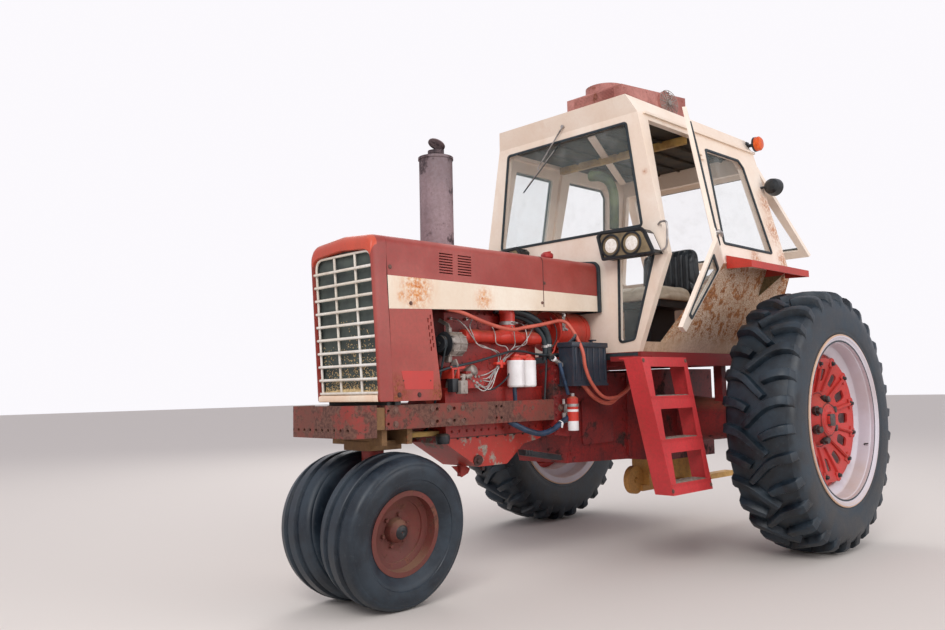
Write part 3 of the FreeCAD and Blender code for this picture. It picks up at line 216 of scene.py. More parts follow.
def addSeal(bm, outline, place, out, width, height, paint=0, inward=0.0):
    # a closed rubber strip of rounded section along an outline of flat (a, b) points, moved inward of it
    out = Vector(out)
    area = sum(a[0] * b[1] - b[0] * a[1] for a, b in zip(outline, outline[1:] + outline[:1]))
    shift = -inward if area > 0 else inward
    half = width / 2
    profile = [(-half, -0.002), (-half, height * 0.5), (-half * 0.75, height * 0.9), (0, height),
               (half * 0.75, height * 0.9), (half, height * 0.5), (half, -0.002)]
    count = len(outline)
    rings = []
    for i in range(count):
        here = Vector(outline[i])
        along = (Vector(outline[(i + 1) % count]) - Vector(outline[i - 1])).normalized()
        across = Vector((along.y, -along.x))
        ring = []
        for offset, up in profile:
            spot = here + across * (offset + shift)
            ring.append(bm.verts.new(place(spot.x, spot.y) + out * up))
        rings.append(ring)
    for i in range(count):
        first, second = rings[i], rings[(i + 1) % count]
        for k in range(len(profile)):
            j = (k + 1) % len(profile)
            bm.faces.new((first[k], first[j], second[j], second[k])).material_index = paint


def roundLoop(corners, steps=5):
    # closed outline from (a, b, corner radius) points
    loop = []
    count = len(corners)
    for i in range(count):
        a, b, radius = corners[i]
        here = Vector((a, b))
        back = (Vector(corners[i - 1][:2]) - here).normalized()
        ahead = (Vector(corners[(i + 1) % count][:2]) - here).normalized()
        half = back.angle(ahead) / 2
        run = radius / math.tan(half)
        start, end = here + back * run, here + ahead * run
        for k in range(steps + 1):
            t = k / steps
            point = (1 - t) ** 2 * start + 2 * t * (1 - t) * here + t * t * end
            loop.append((point.x, point.y))
    return loop


def smoothLine(points, steps=8):
    # an even curve through the points
    points = [Vector(p) for p in points]
    ends = [points[0] * 2 - points[1]] + points + [points[-1] * 2 - points[-2]]
    line = []
    for i in range(1, len(ends) - 2):
        p0, p1, p2, p3 = ends[i - 1:i + 3]
        for k in range(steps):
            t = k / steps
            line.append(0.5 * (2 * p1 + (p2 - p0) * t + (2 * p0 - 5 * p1 + 4 * p2 - p3) * t * t
                               + (3 * p1 - p0 - 3 * p2 + p3) * t ** 3))
    line.append(points[-1])
    return line


def makePiece(bm, name, finishes, body, sharp=35, turn=None):
    mesh = bpy.data.meshes.new(name)
    if turn is not None:
        bmesh.ops.transform(bm, matrix=turn, verts=bm.verts)
    bmesh.ops.recalc_face_normals(bm, faces=bm.faces)
    bm.to_mesh(mesh)
    bm.free()
    mesh.shade_smooth()
    mesh.set_sharp_from_angle(angle=math.radians(sharp))
    for finish in finishes if isinstance(finishes, (list, tuple)) else [finishes]:
        mesh.materials.append(finish)
    piece = bpy.data.objects.new(name, mesh)
    bpy.context.scene.collection.objects.link(piece)
    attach(piece, body)
    return piece


def jointTurn(name, degrees):
    # matrix that swings a shape about one of the tractor's hinges
    hinge = joint[name]
    centre = Matrix.Translation(Vector(hinge["pos_m"]))
    return centre @ Matrix.Rotation(math.radians(degrees), 4, Vector(hinge["axis"])) @ centre.inverted()


# finishes: procedural materials, all in the tractor's own coordinates

class Finish:
    def __init__(self, name, roughness=0.5, metallic=0.0):
        self.material = bpy.data.materials.new(name)
        self.material.use_nodes = True
        self.tree = self.material.node_tree
        self.shader = self.tree.nodes["Principled BSDF"]
        self.shader.inputs["Metallic"].default_value = metallic
        self.shader.inputs["Roughness"].default_value = roughness
        self.place = self.tree.nodes.new("ShaderNodeTexCoord").outputs["Object"]

    def feed(self, socket, value):
        if hasattr(value, "is_linked"):
            self.tree.links.new(value, socket)
        else:
            socket.default_value = value

    def noise(self, scale, detail=5.0, rough=0.6, stretch=(1, 1, 1), shift=0.0):
        mapping = self.tree.nodes.new("ShaderNodeMapping")
        mapping.inputs["Scale"].default_value = stretch
        mapping.inputs["Location"].default_value = (shift, shift * 0.7, shift * 1.3)
        self.tree.links.new(self.place, mapping.inputs["Vector"])
        node = self.tree.nodes.new("ShaderNodeTexNoise")
        node.inputs["Scale"].default_value = scale
        node.inputs["Detail"].default_value = detail
        node.inputs["Roughness"].default_value = rough
        self.tree.links.new(mapping.outputs["Vector"], node.inputs["Vector"])
        return node.outputs["Fac"]

    def step(self, value, low, high, start=0.0, end=1.0):
        node = self.tree.nodes.new("ShaderNodeMapRange")
        node.interpolation_type = "SMOOTHSTEP"
        self.feed(node.inputs["Value"], value)
        for name, number in (("From Min", low), ("From Max", high), ("To Min", start), ("To Max", end)):
            node.inputs[name].default_value = number
        return node.outputs["Result"]

    def maths(self, operation, first, second=0.5, clamp=False):
        node = self.tree.nodes.new("ShaderNodeMath")
        node.operation = operation
        node.use_clamp = clamp
        self.feed(node.inputs[0], first)
        self.feed(node.inputs[1], second)
        return node.outputs[0]

    def blend(self, share, first, second):
        node = self.tree.nodes.new("ShaderNodeMix")
        node.data_type = "RGBA"
        self.feed(node.inputs[0], share)
        self.feed(node.inputs[6], first)
        self.feed(node.inputs[7], second)
        return node.outputs[2]

    def axis(self, name):
        # one coordinate: X, Y or Z
        node = self.tree.nodes.new("ShaderNodeSeparateXYZ")
        self.tree.links.new(self.place, node.inputs[0])
        return node.outputs[name]

    def ball(self, centre, inner, outer):
        # 1 near a point, falling to 0 at the outer distance
        node = self.tree.nodes.new("ShaderNodeVectorMath")
        node.operation = "DISTANCE"
        self.tree.links.new(self.place, node.inputs[0])
        node.inputs[1].default_value = centre
        return self.step(node.outputs["Value"], inner, outer, 1.0, 0.0)

    def upward(self, low=0.3, high=0.9):
        # 1 where the surface looks up
        normal = self.tree.nodes.new("ShaderNodeNewGeometry").outputs["True Normal"]
        node = self.tree.nodes.new("ShaderNodeSeparateXYZ")
        self.tree.links.new(normal, node.inputs[0])
        return self.step(node.outputs["Z"], low, high)

    def bump(self, height, strength, distance=0.002):
        node = self.tree.nodes.new("ShaderNodeBump")
        node.inputs["Strength"].default_value = strength
        node.inputs["Distance"].default_value = distance
        self.tree.links.new(height, node.inputs["Height"])
        self.tree.links.new(node.outputs["Normal"], self.shader.inputs["Normal"])

    def colour(self, value):
        self.feed(self.shader.inputs["Base Color"], value)

    def gloss(self, value):
        self.feed(self.shader.inputs["Roughness"], value)


def wornPaint(name, look):
    # faded paint, rusting in patches and specks, with dust where it looks up; on the fenders the rust layer
    # is instead dark olive painted shade under the lip
    finish = Finish(name, look.get("rough", 0.5), look.get("metal", 0.0))
    fade = finish.noise(look.get("fadeScale", 2.2), 6, 0.6)
    colour = finish.blend(finish.step(fade, 0.35, 0.65), look["paint"], look["faded"])
    fine = finish.noise(look.get("fineScale", 60), 4, 0.7)
    colour = finish.blend(finish.step(fine, 0.3, 0.8, 0.0, look.get("mottle", 0.25)), colour,
                          look.get("dirt", srgb(90, 60, 45)))
    streaks = finish.noise(look.get("streakScale", 9), 5, 0.65, (1, 1, 0.12))
    colour = finish.blend(finish.step(streaks, 0.52, 0.75, 0.0, look.get("streaks", 0.2)), colour,
                          look.get("stain", srgb(120, 70, 45)))
    share = look.get("rustAndShadeShare", 0.2)
    broad = finish.noise(look.get("rustAndShadeScale", 3.5), 9, 0.68, shift=3.1)
    rustAndShade = finish.step(broad, 0.72 - share * 0.4, 0.78 - share * 0.4)
    speck = finish.noise(look.get("speckScale", 45), 6, 0.7, shift=1.7)
    specks = finish.step(speck, 0.76 - look.get("specks", 0.1) * 0.4, 0.80 - look.get("specks", 0.1) * 0.4)
    rustAndShade = finish.maths("MAXIMUM", rustAndShade, specks)
    for centre, inner, outer in look.get("spots", []):
        ragged = finish.maths("MULTIPLY", finish.ball(centre, inner, outer), finish.step(speck, 0.35, 0.6))
        rustAndShade = finish.maths("MAXIMUM", rustAndShade, ragged)
    if "zone" in look:
        # the rust layer only between two heights, low edge first; on the fenders this band is painted shade
        low, high, soft = look["zone"]
        inside = finish.step(finish.axis("Z"), low - soft, low + soft)
        inside = finish.maths("MULTIPLY", inside,
                              finish.step(finish.axis("Z"), high - soft, high + soft, 1, 0))
        rustAndShade = finish.maths("MULTIPLY", rustAndShade, inside)
    rustAndShadeColour = finish.blend(finish.step(fine, 0.35, 0.65), look.get("rustAndShade", srgb(105, 52, 32)),
                              look.get("rustAndShadePale", srgb(150, 88, 55)))
    colour = finish.blend(rustAndShade, colour, rustAndShadeColour)
    dust = finish.maths("MULTIPLY", finish.upward(), finish.step(fade, 0.25, 0.7, 0.2, 1.0))
    dust = finish.maths("MULTIPLY", dust, look.get("dust", 0.25))
    colour = finish.blend(dust, colour, look.get("dustColour", srgb(185, 160, 125)))
    finish.colour(colour)
    rough = finish.step(rustAndShade, 0, 1, look.get("rough", 0.5), 0.92)
    finish.gloss(finish.maths("ADD", rough, finish.maths("MULTIPLY", dust, 0.4), True))
    relief = finish.maths("ADD", finish.maths("MULTIPLY", rustAndShade, 0.5), finish.maths("MULTIPLY", fine, 0.35))
    finish.bump(relief, look.get("relief", 0.35), 0.0015)
    return finish.material


def plainFinish(name, light, dark, rough=0.5, metallic=0.0, scale=12, relief=0.2, dust=0.0):
    finish = Finish(name, rough, metallic)
    cloud = finish.noise(scale, 6, 0.65)
    colour = finish.blend(finish.step(cloud, 0.3, 0.7), dark, light)
    if dust > 0:
        fall = finish.maths("MULTIPLY", finish.upward(), dust)
        colour = finish.blend(fall, colour, srgb(175, 150, 118))
    finish.colour(colour)
    finish.gloss(finish.step(cloud, 0.2, 0.8, max(rough - 0.12, 0.04), min(rough + 0.15, 1)))
    finish.bump(finish.noise(scale * 8, 4, 0.6), relief, 0.001)
    return finish.material


def rubberFinish(name, look):
    # dark rubber, paler with dust on the sides and in the grooves, with fine cracks
    finish = Finish(name, 0.62)
    cloud = finish.noise(6, 7, 0.65)
    colour = finish.blend(finish.step(cloud, 0.35, 0.7), look["dark"], look["pale"])
    fine = finish.noise(55, 6, 0.7)
    colour = finish.blend(finish.step(fine, 0.55, 0.8, 0.0, look["dust"]), colour, look["dustColour"])
    finish.colour(colour)
    finish.gloss(finish.step(cloud, 0.3, 0.8, look["rough"] - 0.1, look["rough"] + 0.2))
    cracks = finish.noise(170, 5, 0.8, (1, 1, 1), 2.0)
    finish.bump(finish.maths("ADD", finish.maths("MULTIPLY", fine, 0.6), cracks), 0.28, 0.0015)
    return finish.material


def glassFinish(name, tint, alpha, rough=0.03):
    # thin window glass, lightly dusty
    finish = Finish(name, rough)
    dust = finish.noise(7, 6, 0.6)
    finish.colour(finish.blend(finish.step(dust, 0.3, 0.8), tint, srgb(225, 230, 225)))
    finish.feed(finish.shader.inputs["Alpha"], finish.step(dust, 0.45, 0.85, alpha, alpha + 0.07))
    finish.shader.inputs["IOR"].default_value = 1.45
    finish.material.surface_render_method = "BLENDED"
    return finish.material


hoodRust = srgb(120, 52, 38)
paints = {
    "hoodRed": {"paint": srgb(150, 48, 40), "faded": srgb(166, 74, 66), "rustAndShadeShare": 0.02, "specks": 0.04,
                "rough": 0.42, "dust": 0.5, "dustColour": srgb(196, 128, 118), "streaks": 0.2,
                "stain": srgb(128, 48, 38), "mottle": 0.3, "rustAndShade": hoodRust},
    "noseRed": {"paint": srgb(148, 50, 42), "faded": srgb(160, 70, 62), "rustAndShadeShare": 0.04, "specks": 0.08,
                "rough": 0.42, "dust": 0.35, "dustColour": srgb(204, 120, 92), "mottle": 0.3,
                "rustAndShade": srgb(176, 68, 38), "rustAndShadePale": srgb(196, 92, 58)},
    # brighter red for a painted highlight on the nose's top band
    "noseTopHighlight": {"paint": srgb(206, 78, 48), "faded": srgb(190, 70, 48), "rustAndShadeShare": 0.0, "specks": 0.06,
                "rough": 0.4, "dust": 0.2, "mottle": 0.2, "rustAndShade": srgb(150, 58, 34)},
    # pale cream standing in for painted sunlight on the top of the nose's bottom lip
    "sillPaintedSunlight": {"paint": srgb(246, 228, 204), "faded": srgb(240, 206, 176), "rustAndShadeShare": 0.0,
                  "specks": 0.08, "rough": 0.4, "dust": 0.0, "mottle": 0.15, "dirt": srgb(222, 160, 120),
                  "rustAndShade": srgb(190, 110, 80)},
    "panelRed": {"paint": srgb(150, 50, 42), "faded": srgb(165, 68, 58), "rustAndShadeShare": 0.05, "specks": 0.1,
                 "rough": 0.45, "dust": 0.2, "mottle": 0.35,
                 "spots": [(tuple(at(0.257, -2.72, 1.03)), 0.02, 0.16),
                           (tuple(at(0.257, -2.42, 1.04)), 0.01, 0.1)]},
    "stripeWhite": {"paint": srgb(238, 226, 208), "faded": srgb(226, 208, 186), "rustAndShadeShare": 0.02,
                    "specks": 0.05, "rough": 0.4, "dust": 0.0, "mottle": 0.12, "dirt": srgb(200, 160, 120),
                    "streaks": 0.22, "stain": srgb(214, 150, 92), "rustAndShade": srgb(196, 112, 52),
                    "rustAndShadePale": srgb(222, 160, 100),
                    "spots": [(tuple(at(0.257, -2.56, 1.56)), 0.02, 0.16),
                              (tuple(at(0.257, -2.66, 1.52)), 0.0, 0.045),
                              (tuple(at(0.257, -2.59, 1.51)), 0.0, 0.04),
                              (tuple(at(0.257, -2.08, 1.54)), 0.0, 0.1)]},
    "grilleWhite": {"paint": srgb(244, 240, 232), "faded": srgb(228, 218, 202), "rustAndShadeShare": 0.0,
                    "specks": 0.06, "rough": 0.4, "dust": 0.3, "mottle": 0.2, "rustAndShade": srgb(120, 70, 50)},
    "railRust": {"paint": srgb(140, 44, 36), "faded": srgb(110, 56, 44), "rustAndShadeShare": 0.62, "specks": 0.5,
                 "rustAndShadeScale": 7, "rough": 0.6, "dust": 0.35, "mottle": 0.5, "rustAndShade": srgb(78, 48, 42),
                 "rustAndShadePale": srgb(112, 76, 64), "streaks": 0.5, "stain": srgb(60, 48, 48)},
    "bolsterTan": {"paint": srgb(140, 106, 66), "faded": srgb(112, 82, 54), "rustAndShadeShare": 0.3, "specks": 0.3,
                   "rough": 0.8, "dust": 0.4, "mottle": 0.5, "rustAndShade": srgb(70, 48, 34)},
    "legRed": {"paint": srgb(176, 40, 32), "faded": srgb(150, 44, 36), "rustAndShadeShare": 0.25, "specks": 0.2,
               "rough": 0.5, "dust": 0.2, "mottle": 0.4, "rustAndShade": srgb(70, 44, 36)},
    "engineRed": {"paint": srgb(180, 40, 32), "faded": srgb(140, 38, 32), "rustAndShadeShare": 0.3, "specks": 0.34,
                  "rustAndShadeScale": 6, "rough": 0.42, "dust": 0.3, "mottle": 0.5, "dirt": srgb(60, 34, 30),
                  "rustAndShade": srgb(52, 34, 32), "rustAndShadePale": srgb(96, 52, 42), "streaks": 0.5,
                  "stain": srgb(56, 34, 34)},
    "panRed": {"paint": srgb(196, 46, 34), "faded": srgb(172, 48, 38), "rustAndShadeShare": 0.42, "specks": 0.3,
               "rustAndShadeScale": 8, "rough": 0.45, "dust": 0.1, "mottle": 0.3, "rustAndShade": srgb(124, 110, 100),
               "rustAndShadePale": srgb(156, 142, 130), "streaks": 0.3},
    "manifoldRed": {"paint": srgb(214, 54, 38), "faded": srgb(190, 52, 40), "rustAndShadeShare": 0.05, "specks": 0.12,
                    "rough": 0.4, "dust": 0.25, "mottle": 0.3, "rustAndShade": srgb(90, 52, 42)},
    "mufflerGrey": {"paint": srgb(120, 104, 108), "faded": srgb(150, 128, 132), "rustAndShadeShare": 0.42,
                    "specks": 0.3, "rustAndShadeScale": 6, "rough": 0.6, "dust": 0.1, "mottle": 0.4,
                    "rustAndShade": srgb(58, 48, 52), "rustAndShadePale": srgb(92, 76, 78), "streaks": 0.4,
                    "stain": srgb(80, 62, 66)},
    "boxBlack": {"paint": srgb(24, 38, 52), "faded": srgb(34, 52, 66), "rustAndShadeShare": 0.06, "specks": 0.15,
                 "rough": 0.42, "dust": 0.3, "mottle": 0.3, "rustAndShade": srgb(60, 44, 40)},
    "caseRed": {"paint": srgb(150, 30, 28), "faded": srgb(108, 28, 28), "rustAndShadeShare": 0.42, "specks": 0.35,
                "rustAndShadeScale": 5, "rough": 0.55, "dust": 0.25, "mottle": 0.6, "dirt": srgb(40, 24, 24),
                "rustAndShade": srgb(42, 26, 28), "rustAndShadePale": srgb(84, 44, 38), "streaks": 0.6,
                "stain": srgb(40, 24, 26)},
    "drawbarYellow": {"paint": srgb(226, 178, 96), "faded": srgb(196, 142, 70), "rustAndShadeShare": 0.25,
                      "specks": 0.3, "rough": 0.6, "dust": 0.2, "mottle": 0.4, "rustAndShade": srgb(120, 78, 44)},
    "platformRed": {"paint": srgb(158, 34, 40), "faded": srgb(140, 32, 34), "rustAndShadeShare": 0.15, "specks": 0.2,
                    "rough": 0.5, "dust": 0.3, "mottle": 0.4, "rustAndShade": srgb(66, 38, 34)},
    "ladderRed": {"paint": srgb(206, 58, 62), "faded": srgb(188, 48, 52), "rustAndShadeShare": 0.08, "specks": 0.15,
                  "rough": 0.45, "dust": 0.75, "dustColour": srgb(150, 122, 100), "mottle": 0.3,
                  "rustAndShade": srgb(96, 56, 44)},
    # the fenders' rust colours are dark olive painted shade, laid over the whole band under the lip between
    # the zone's two heights
    "fenderRed": {"paint": srgb(202, 56, 42), "faded": srgb(178, 50, 40), "rustAndShadeShare": 1.7, "specks": 0.1,
                  "rough": 0.45, "dust": 0.2, "mottle": 0.3, "rustAndShade": srgb(96, 88, 58),
                  "rustAndShadePale": srgb(128, 112, 78), "zone": (1.50, 1.785, 0.003)},
    "cabCream": {"paint": srgb(244, 230, 214), "faded": srgb(236, 216, 196), "rustAndShadeShare": 0.0, "specks": 0.07,
                 "rough": 0.45, "dust": 0.1, "mottle": 0.12, "dirt": srgb(210, 170, 140), "streaks": 0.16,
                 "stain": srgb(206, 160, 124), "rustAndShade": srgb(172, 108, 74), "rustAndShadePale": srgb(206, 156, 120),
                 "spots": [(tuple(at(0.62, -1.03, 2.35)), 0.0, 0.03),
                           (tuple(at(0.62, 0.47, 2.35)), 0.02, 0.16), (tuple(at(0.66, 0.5, 2.15)), 0.02, 0.2),
                           (tuple(at(0.73, 0.52, 1.93)), 0.02, 0.12),
                           (tuple(at(0.74, 0.1, 1.9)), 0.0, 0.12)]},
    "lowerRust": {"paint": srgb(222, 200, 176), "faded": srgb(204, 176, 146), "rustAndShadeShare": 0.55,
                  "specks": 0.62, "rustAndShadeScale": 14, "speckScale": 120, "rough": 0.6, "dust": 0.1,
                  "mottle": 0.4, "rustAndShade": srgb(124, 72, 40), "rustAndShadePale": srgb(178, 120, 72),
                  "zone": (1.34, 1.84, 0.06)},
    "unitRust": {"paint": srgb(196, 134, 124), "faded": srgb(158, 92, 84), "rustAndShadeShare": 0.3, "specks": 0.3,
                 "rough": 0.7, "dust": 0.4, "dustColour": srgb(206, 160, 142), "mottle": 0.4,
                 "rustAndShade": srgb(92, 52, 44)},
    "rimRust": {"paint": srgb(132, 46, 40), "faded": srgb(104, 50, 44), "rustAndShadeShare": 0.4, "specks": 0.4,
                "rustAndShadeScale": 9, "rough": 0.65, "dust": 0.25, "mottle": 0.5, "rustAndShade": srgb(84, 50, 42),
                "rustAndShadePale": srgb(120, 74, 58)},
    "rimGrey": {"paint": srgb(204, 198, 206), "faded": srgb(190, 178, 180), "rustAndShadeShare": 0.0, "specks": 0.04,
                "fadeScale": 1.4, "rough": 0.42, "dust": 0.5, "dustColour": srgb(206, 178, 146),
                "mottle": 0.06, "dirt": srgb(150, 130, 124), "streaks": 0.08, "rustAndShade": srgb(140, 96, 74),
                "relief": 0.06},
    "rimLip": {"paint": srgb(206, 172, 146), "faded": srgb(196, 158, 134), "rustAndShadeShare": 0.0, "specks": 0.06,
               "rough": 0.5, "dust": 0.2, "mottle": 0.15, "rustAndShade": srgb(140, 96, 74), "relief": 0.1},
    "discRed": {"paint": srgb(196, 48, 44), "faded": srgb(176, 50, 44), "rustAndShadeShare": 0.1, "specks": 0.14,
                "rough": 0.45, "dust": 0.2, "mottle": 0.35, "rustAndShade": srgb(90, 44, 38)},
}
finishes = {name: wornPaint(name, look) for name, look in paints.items()}
finishes["tyreFront"] = rubberFinish("tyreFront", {
    "dark": srgb(16, 26, 36), "pale": srgb(40, 52, 62), "dust": 0.28, "dustColour": srgb(92, 96, 96),
    "rough": 0.45})
finishes["tyreRear"] = rubberFinish("tyreRear", {
    "dark": srgb(8, 17, 25), "pale": srgb(34, 49, 60), "dust": 0.26, "dustColour": srgb(108, 112, 104),
    "rough": 0.42})
finishes["seal"] = plainFinish("seal", srgb(44, 56, 62), srgb(22, 30, 34), 0.6, 0, 20, 0.2)
finishes["blackPart"] = plainFinish("blackPart", srgb(42, 44, 48), srgb(16, 18, 22), 0.5, 0, 16, 0.3, 0.25)
finishes["darkHose"] = plainFinish("darkHose", srgb(40, 52, 58), srgb(18, 26, 30), 0.45, 0, 10, 0.2)
finishes["salmonHose"] = plainFinish("salmonHose", srgb(206, 104, 84), srgb(178, 78, 62), 0.5, 0, 6, 0.2)
finishes["steel"] = plainFinish("steel", srgb(196, 190, 186), srgb(130, 124, 120), 0.35, 0.6, 20, 0.1)
finishes["castAluminium"] = plainFinish("castAluminium", srgb(168, 158, 150), srgb(120, 110, 104), 0.5, 0.35,
                                        14, 0.4, 0.3)
finishes["filterWhite"] = plainFinish("filterWhite", srgb(240, 238, 238), srgb(222, 218, 216), 0.35, 0, 5,
                                      0.05)
finishes["coreFins"] = plainFinish("coreFins", srgb(66, 64, 62), srgb(32, 34, 36), 0.7, 0.2, 30, 0.4)
finishes["screenMesh"] = plainFinish("screenMesh", srgb(84, 92, 86), srgb(58, 66, 64), 0.7, 0.1, 9, 0.3)
finishes["chaff"] = plainFinish("chaff", srgb(224, 198, 148), srgb(168, 136, 92), 0.9, 0, 40, 0.5)
finishes["headliner"] = plainFinish("headliner", srgb(74, 62, 46), srgb(34, 30, 24), 0.9, 0, 5, 0.6)
finishes["yellowBar"] = plainFinish("yellowBar", srgb(196, 160, 90), srgb(140, 104, 56), 0.6, 0, 8, 0.3)
finishes["oliveDuct"] = plainFinish("oliveDuct", srgb(96, 104, 66), srgb(48, 54, 38), 0.6, 0, 8, 0.2)
finishes["blackVinyl"] = plainFinish("blackVinyl", srgb(46, 54, 60), srgb(18, 24, 30), 0.38, 0, 9, 0.25)
finishes["creamVinyl"] = plainFinish("creamVinyl", srgb(226, 214, 192), srgb(196, 180, 154), 0.5, 0, 7, 0.25)
finishes["amberLens"] = plainFinish("amberLens", srgb(236, 104, 22), srgb(200, 66, 10), 0.18, 0, 20, 0.1)
finishes["lampLens"] = plainFinish("lampLens", srgb(252, 248, 240), srgb(228, 220, 206), 0.15, 0, 60, 0.3)
finishes["lampRim"] = plainFinish("lampRim", srgb(30, 34, 36), srgb(12, 14, 16), 0.35, 0, 14, 0.2)
finishes["lampInside"] = plainFinish("lampInside", srgb(150, 132, 100), srgb(96, 82, 60), 0.7, 0, 10, 0.3)
finishes["glassClear"] = glassFinish("glassClear", srgb(214, 232, 228), 0.05)
finishes["glassDoor"] = glassFinish("glassDoor", srgb(176, 220, 224), 0.14, 0.05)
finishes["jointLine"] = plainFinish("jointLine", srgb(96, 36, 30), srgb(70, 28, 26), 0.6, 0, 20, 0.1)
finishes["rustyBolt"] = plainFinish("rustyBolt", srgb(126, 92, 80), srgb(84, 56, 48), 0.6, 0.2, 40, 0.3)
finishes["darkBolt"] = plainFinish("darkBolt", srgb(84, 50, 44), srgb(52, 34, 32), 0.6, 0.1, 40, 0.3)
finishes["patchRed"] = plainFinish("patchRed", srgb(190, 52, 44), srgb(178, 50, 42), 0.4, 0, 8, 0.1)
finishes["capRed"] = plainFinish("capRed", srgb(188, 40, 38), srgb(150, 34, 34), 0.4, 0, 20, 0.2, 0.2)
finishes["blueHose"] = plainFinish("blueHose", srgb(34, 62, 92), srgb(16, 30, 46), 0.45, 0, 14, 0.2)
finishes["greasyIron"] = plainFinish("greasyIron", srgb(92, 78, 74), srgb(34, 30, 32), 0.45, 0.2, 40, 0.4)
finishes["treadGrey"] = plainFinish("treadGrey", srgb(150, 140, 134), srgb(98, 84, 76), 0.8, 0, 20, 0.5, 0.3)
print("finishes made,", len(finishes))


# which finish each plain node carries

nodeFinish = {
    "front_bracket": "railRust", "side_rails": "railRust", "front_bolster": "bolsterTan",
    "front_pedestal": "legRed", "radiator": "coreFins", "nose_shell": "noseRed", "hood": "hoodRed",
    "stripe_panels": "stripeWhite", "nose_side_panels": "panelRed", "engine": "engineRed",
    "oil_pan": "panRed", "intake_manifold": "manifoldRed", "muffler": "mufflerGrey",
    "alternator": "castAluminium", "fuel_filters": "filterWhite", "injection_pump": "engineRed",
    "air_cleaner": "manifoldRed", "battery_box": "boxBlack", "starting_fluid_can": "manifoldRed",
    "transmission_case": "caseRed", "rear_axle_housings": "caseRed", "drawbar": "drawbarYellow",
    "platform": "platformRed", "ladder": "ladderRed", "cab_front": "cabCream", "cab_rear": "cabCream",
    "cab_sides": "cabCream", "lower_sides": "lowerRust", "fenders": "fenderRed", "headlamps": "lampRim",
    "roof": "cabCream", "roof_unit": "unitRust", "cab_glass": "glassClear", "cab_lamps": "amberLens",
    "seat_base": "blackPart", "steering_column": "blackPart", "rear_window_frame": "cabCream",
    "rear_window_glass": "glassClear",
}
for side in ("left", "right"):
    nodeFinish["front_rim_" + side] = "rimRust"
    nodeFinish["rear_rim_" + side] = "rimGrey"
    nodeFinish["rear_disc_" + side] = "discRed"
    nodeFinish["door_" + side] = "cabCream"
    nodeFinish["door_glass_" + side] = "glassDoor"
for name, finish in nodeFinish.items():
    cadNode[name].data.materials.clear()
    cadNode[name].data.materials.append(finishes[finish])
print("nodes painted")


# tyres

frontTyreLook = {
    "radius": 0.378, "width": 0.262,
    "ribHalf": 0.026, "grooveOuter": 0.062, "grooveDeep": 0.017, "steps": 96,
}


def frontTyreProfile(look):
    # the outside from bead to bead, then back along the inside
    r = look["radius"]
    deep = r - look["grooveDeep"]
    rib, groove = look["ribHalf"], look["grooveOuter"]
    outer = [(0.081, 0.191), (0.083, 0.206), (0.095, 0.222), (0.113, 0.242), (0.1235, 0.262),
             (0.1235, 0.2655), (0.1275, 0.268), (0.1295, 0.285), (0.1308, 0.300), (0.1295, 0.318),
             (0.1265, 0.332), (0.1225, 0.337), (0.1225, 0.341), (0.119, 0.351), (0.1085, 0.3615),
             (0.098, 0.3655), (groove + 0.004, r - 0.0045), (groove, r - 0.007),
             (groove - 0.006, deep - 0.001), (rib + 0.007, deep), (rib + 0.001, r - 0.0035),
             (rib - 0.003, r - 0.0005), (0.0, r)]
    outer += [(-a, radius) for a, radius in reversed(outer[:-1])]
    inner = [(-0.063, 0.191), (-0.071, 0.225), (-0.105, 0.27), (-0.104, 0.335), (0, 0.352),
             (0.104, 0.335), (0.105, 0.27), (0.071, 0.225), (0.063, 0.191)]
    return outer + inner


def addFrontTyre(side):
    spin = joint["front_wheel_" + side + "_spin"]
    bm = bmesh.new()
    addTurned(bm, frontTyreProfile(frontTyreLook), spin["pos_m"], spin["axis"], frontTyreLook["steps"])
    tyre = makePiece(bm, "tread_front_" + side, finishes["tyreFront"], "front_wheel_" + side, 28)
    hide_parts("front_tyre_" + side)


rearTyreLook = {
    "carcass": 0.777, "steps": 120,
    "pairs": 15,            # a long and a short bar take turns, this many of each on both sides of the tread
    "firstBar": 7.5,        # degrees from the top, forward
    "footSpread": 0.013, "round": 0.0035,
    # along a bar: distance from the middle, degrees its line leads its outer end, height of its top, of its
    # foot, half width of its top, degrees its sides lean from straight across
    "longBar": [(-0.058, 10.9, 0.8130, 0.768, 0.0145, 48), (-0.020, 8.4, 0.8148, 0.770, 0.016, 46),
                (0.020, 5.6, 0.8150, 0.770, 0.017, 42), (0.060, 3.0, 0.8150, 0.768, 0.019, 31),
                (0.100, 1.4, 0.8125, 0.765, 0.021, 20), (0.140, 0.5, 0.8065, 0.757, 0.023, 11),
                (0.175, 0.1, 0.7965, 0.743, 0.0245, 6), (0.197, 0.0, 0.776, 0.716, 0.025, 6),
                (0.2075, 0.0, 0.732, 0.690, 0.023, 6)],
    "shortBar": [(0.038, 3.8, 0.8132, 0.769, 0.018, 31), (0.064, 2.8, 0.8148, 0.768, 0.019, 29),
                 (0.100, 1.6, 0.8125, 0.765, 0.021, 20), (0.140, 0.7, 0.8065, 0.757, 0.023, 11),
                 (0.175, 0.2, 0.7965, 0.743, 0.0245, 6), (0.197, 0.0, 0.776, 0.716, 0.025, 6),
                 (0.2075, 0.0, 0.732, 0.690, 0.023, 6)],
}


def rearTyreProfile(look):
    c = look["carcass"]
    outer = [(0.201, 0.483), (0.202, 0.512), (0.2045, 0.524), (0.2065, 0.534), (0.2115, 0.545),
             (0.2105, 0.553), (0.2125, 0.560), (0.2145, 0.59), (0.215, 0.63), (0.2145, 0.672),
             (0.2095, 0.705), (0.200, 0.733), (0.182, 0.753), (0.14, c - 0.011), (0.08, c - 0.003), (0.0, c)]
    outer += [(-a, radius) for a, radius in reversed(outer[:-1])]
    inner = [(-0.177, 0.483), (-0.183, 0.53), (-0.185, 0.62), (-0.181, 0.69), (-0.155, 0.74), (0, 0.757),
             (0.155, 0.74), (0.181, 0.69), (0.185, 0.62), (0.183, 0.53), (0.177, 0.483)]
    return outer + inner


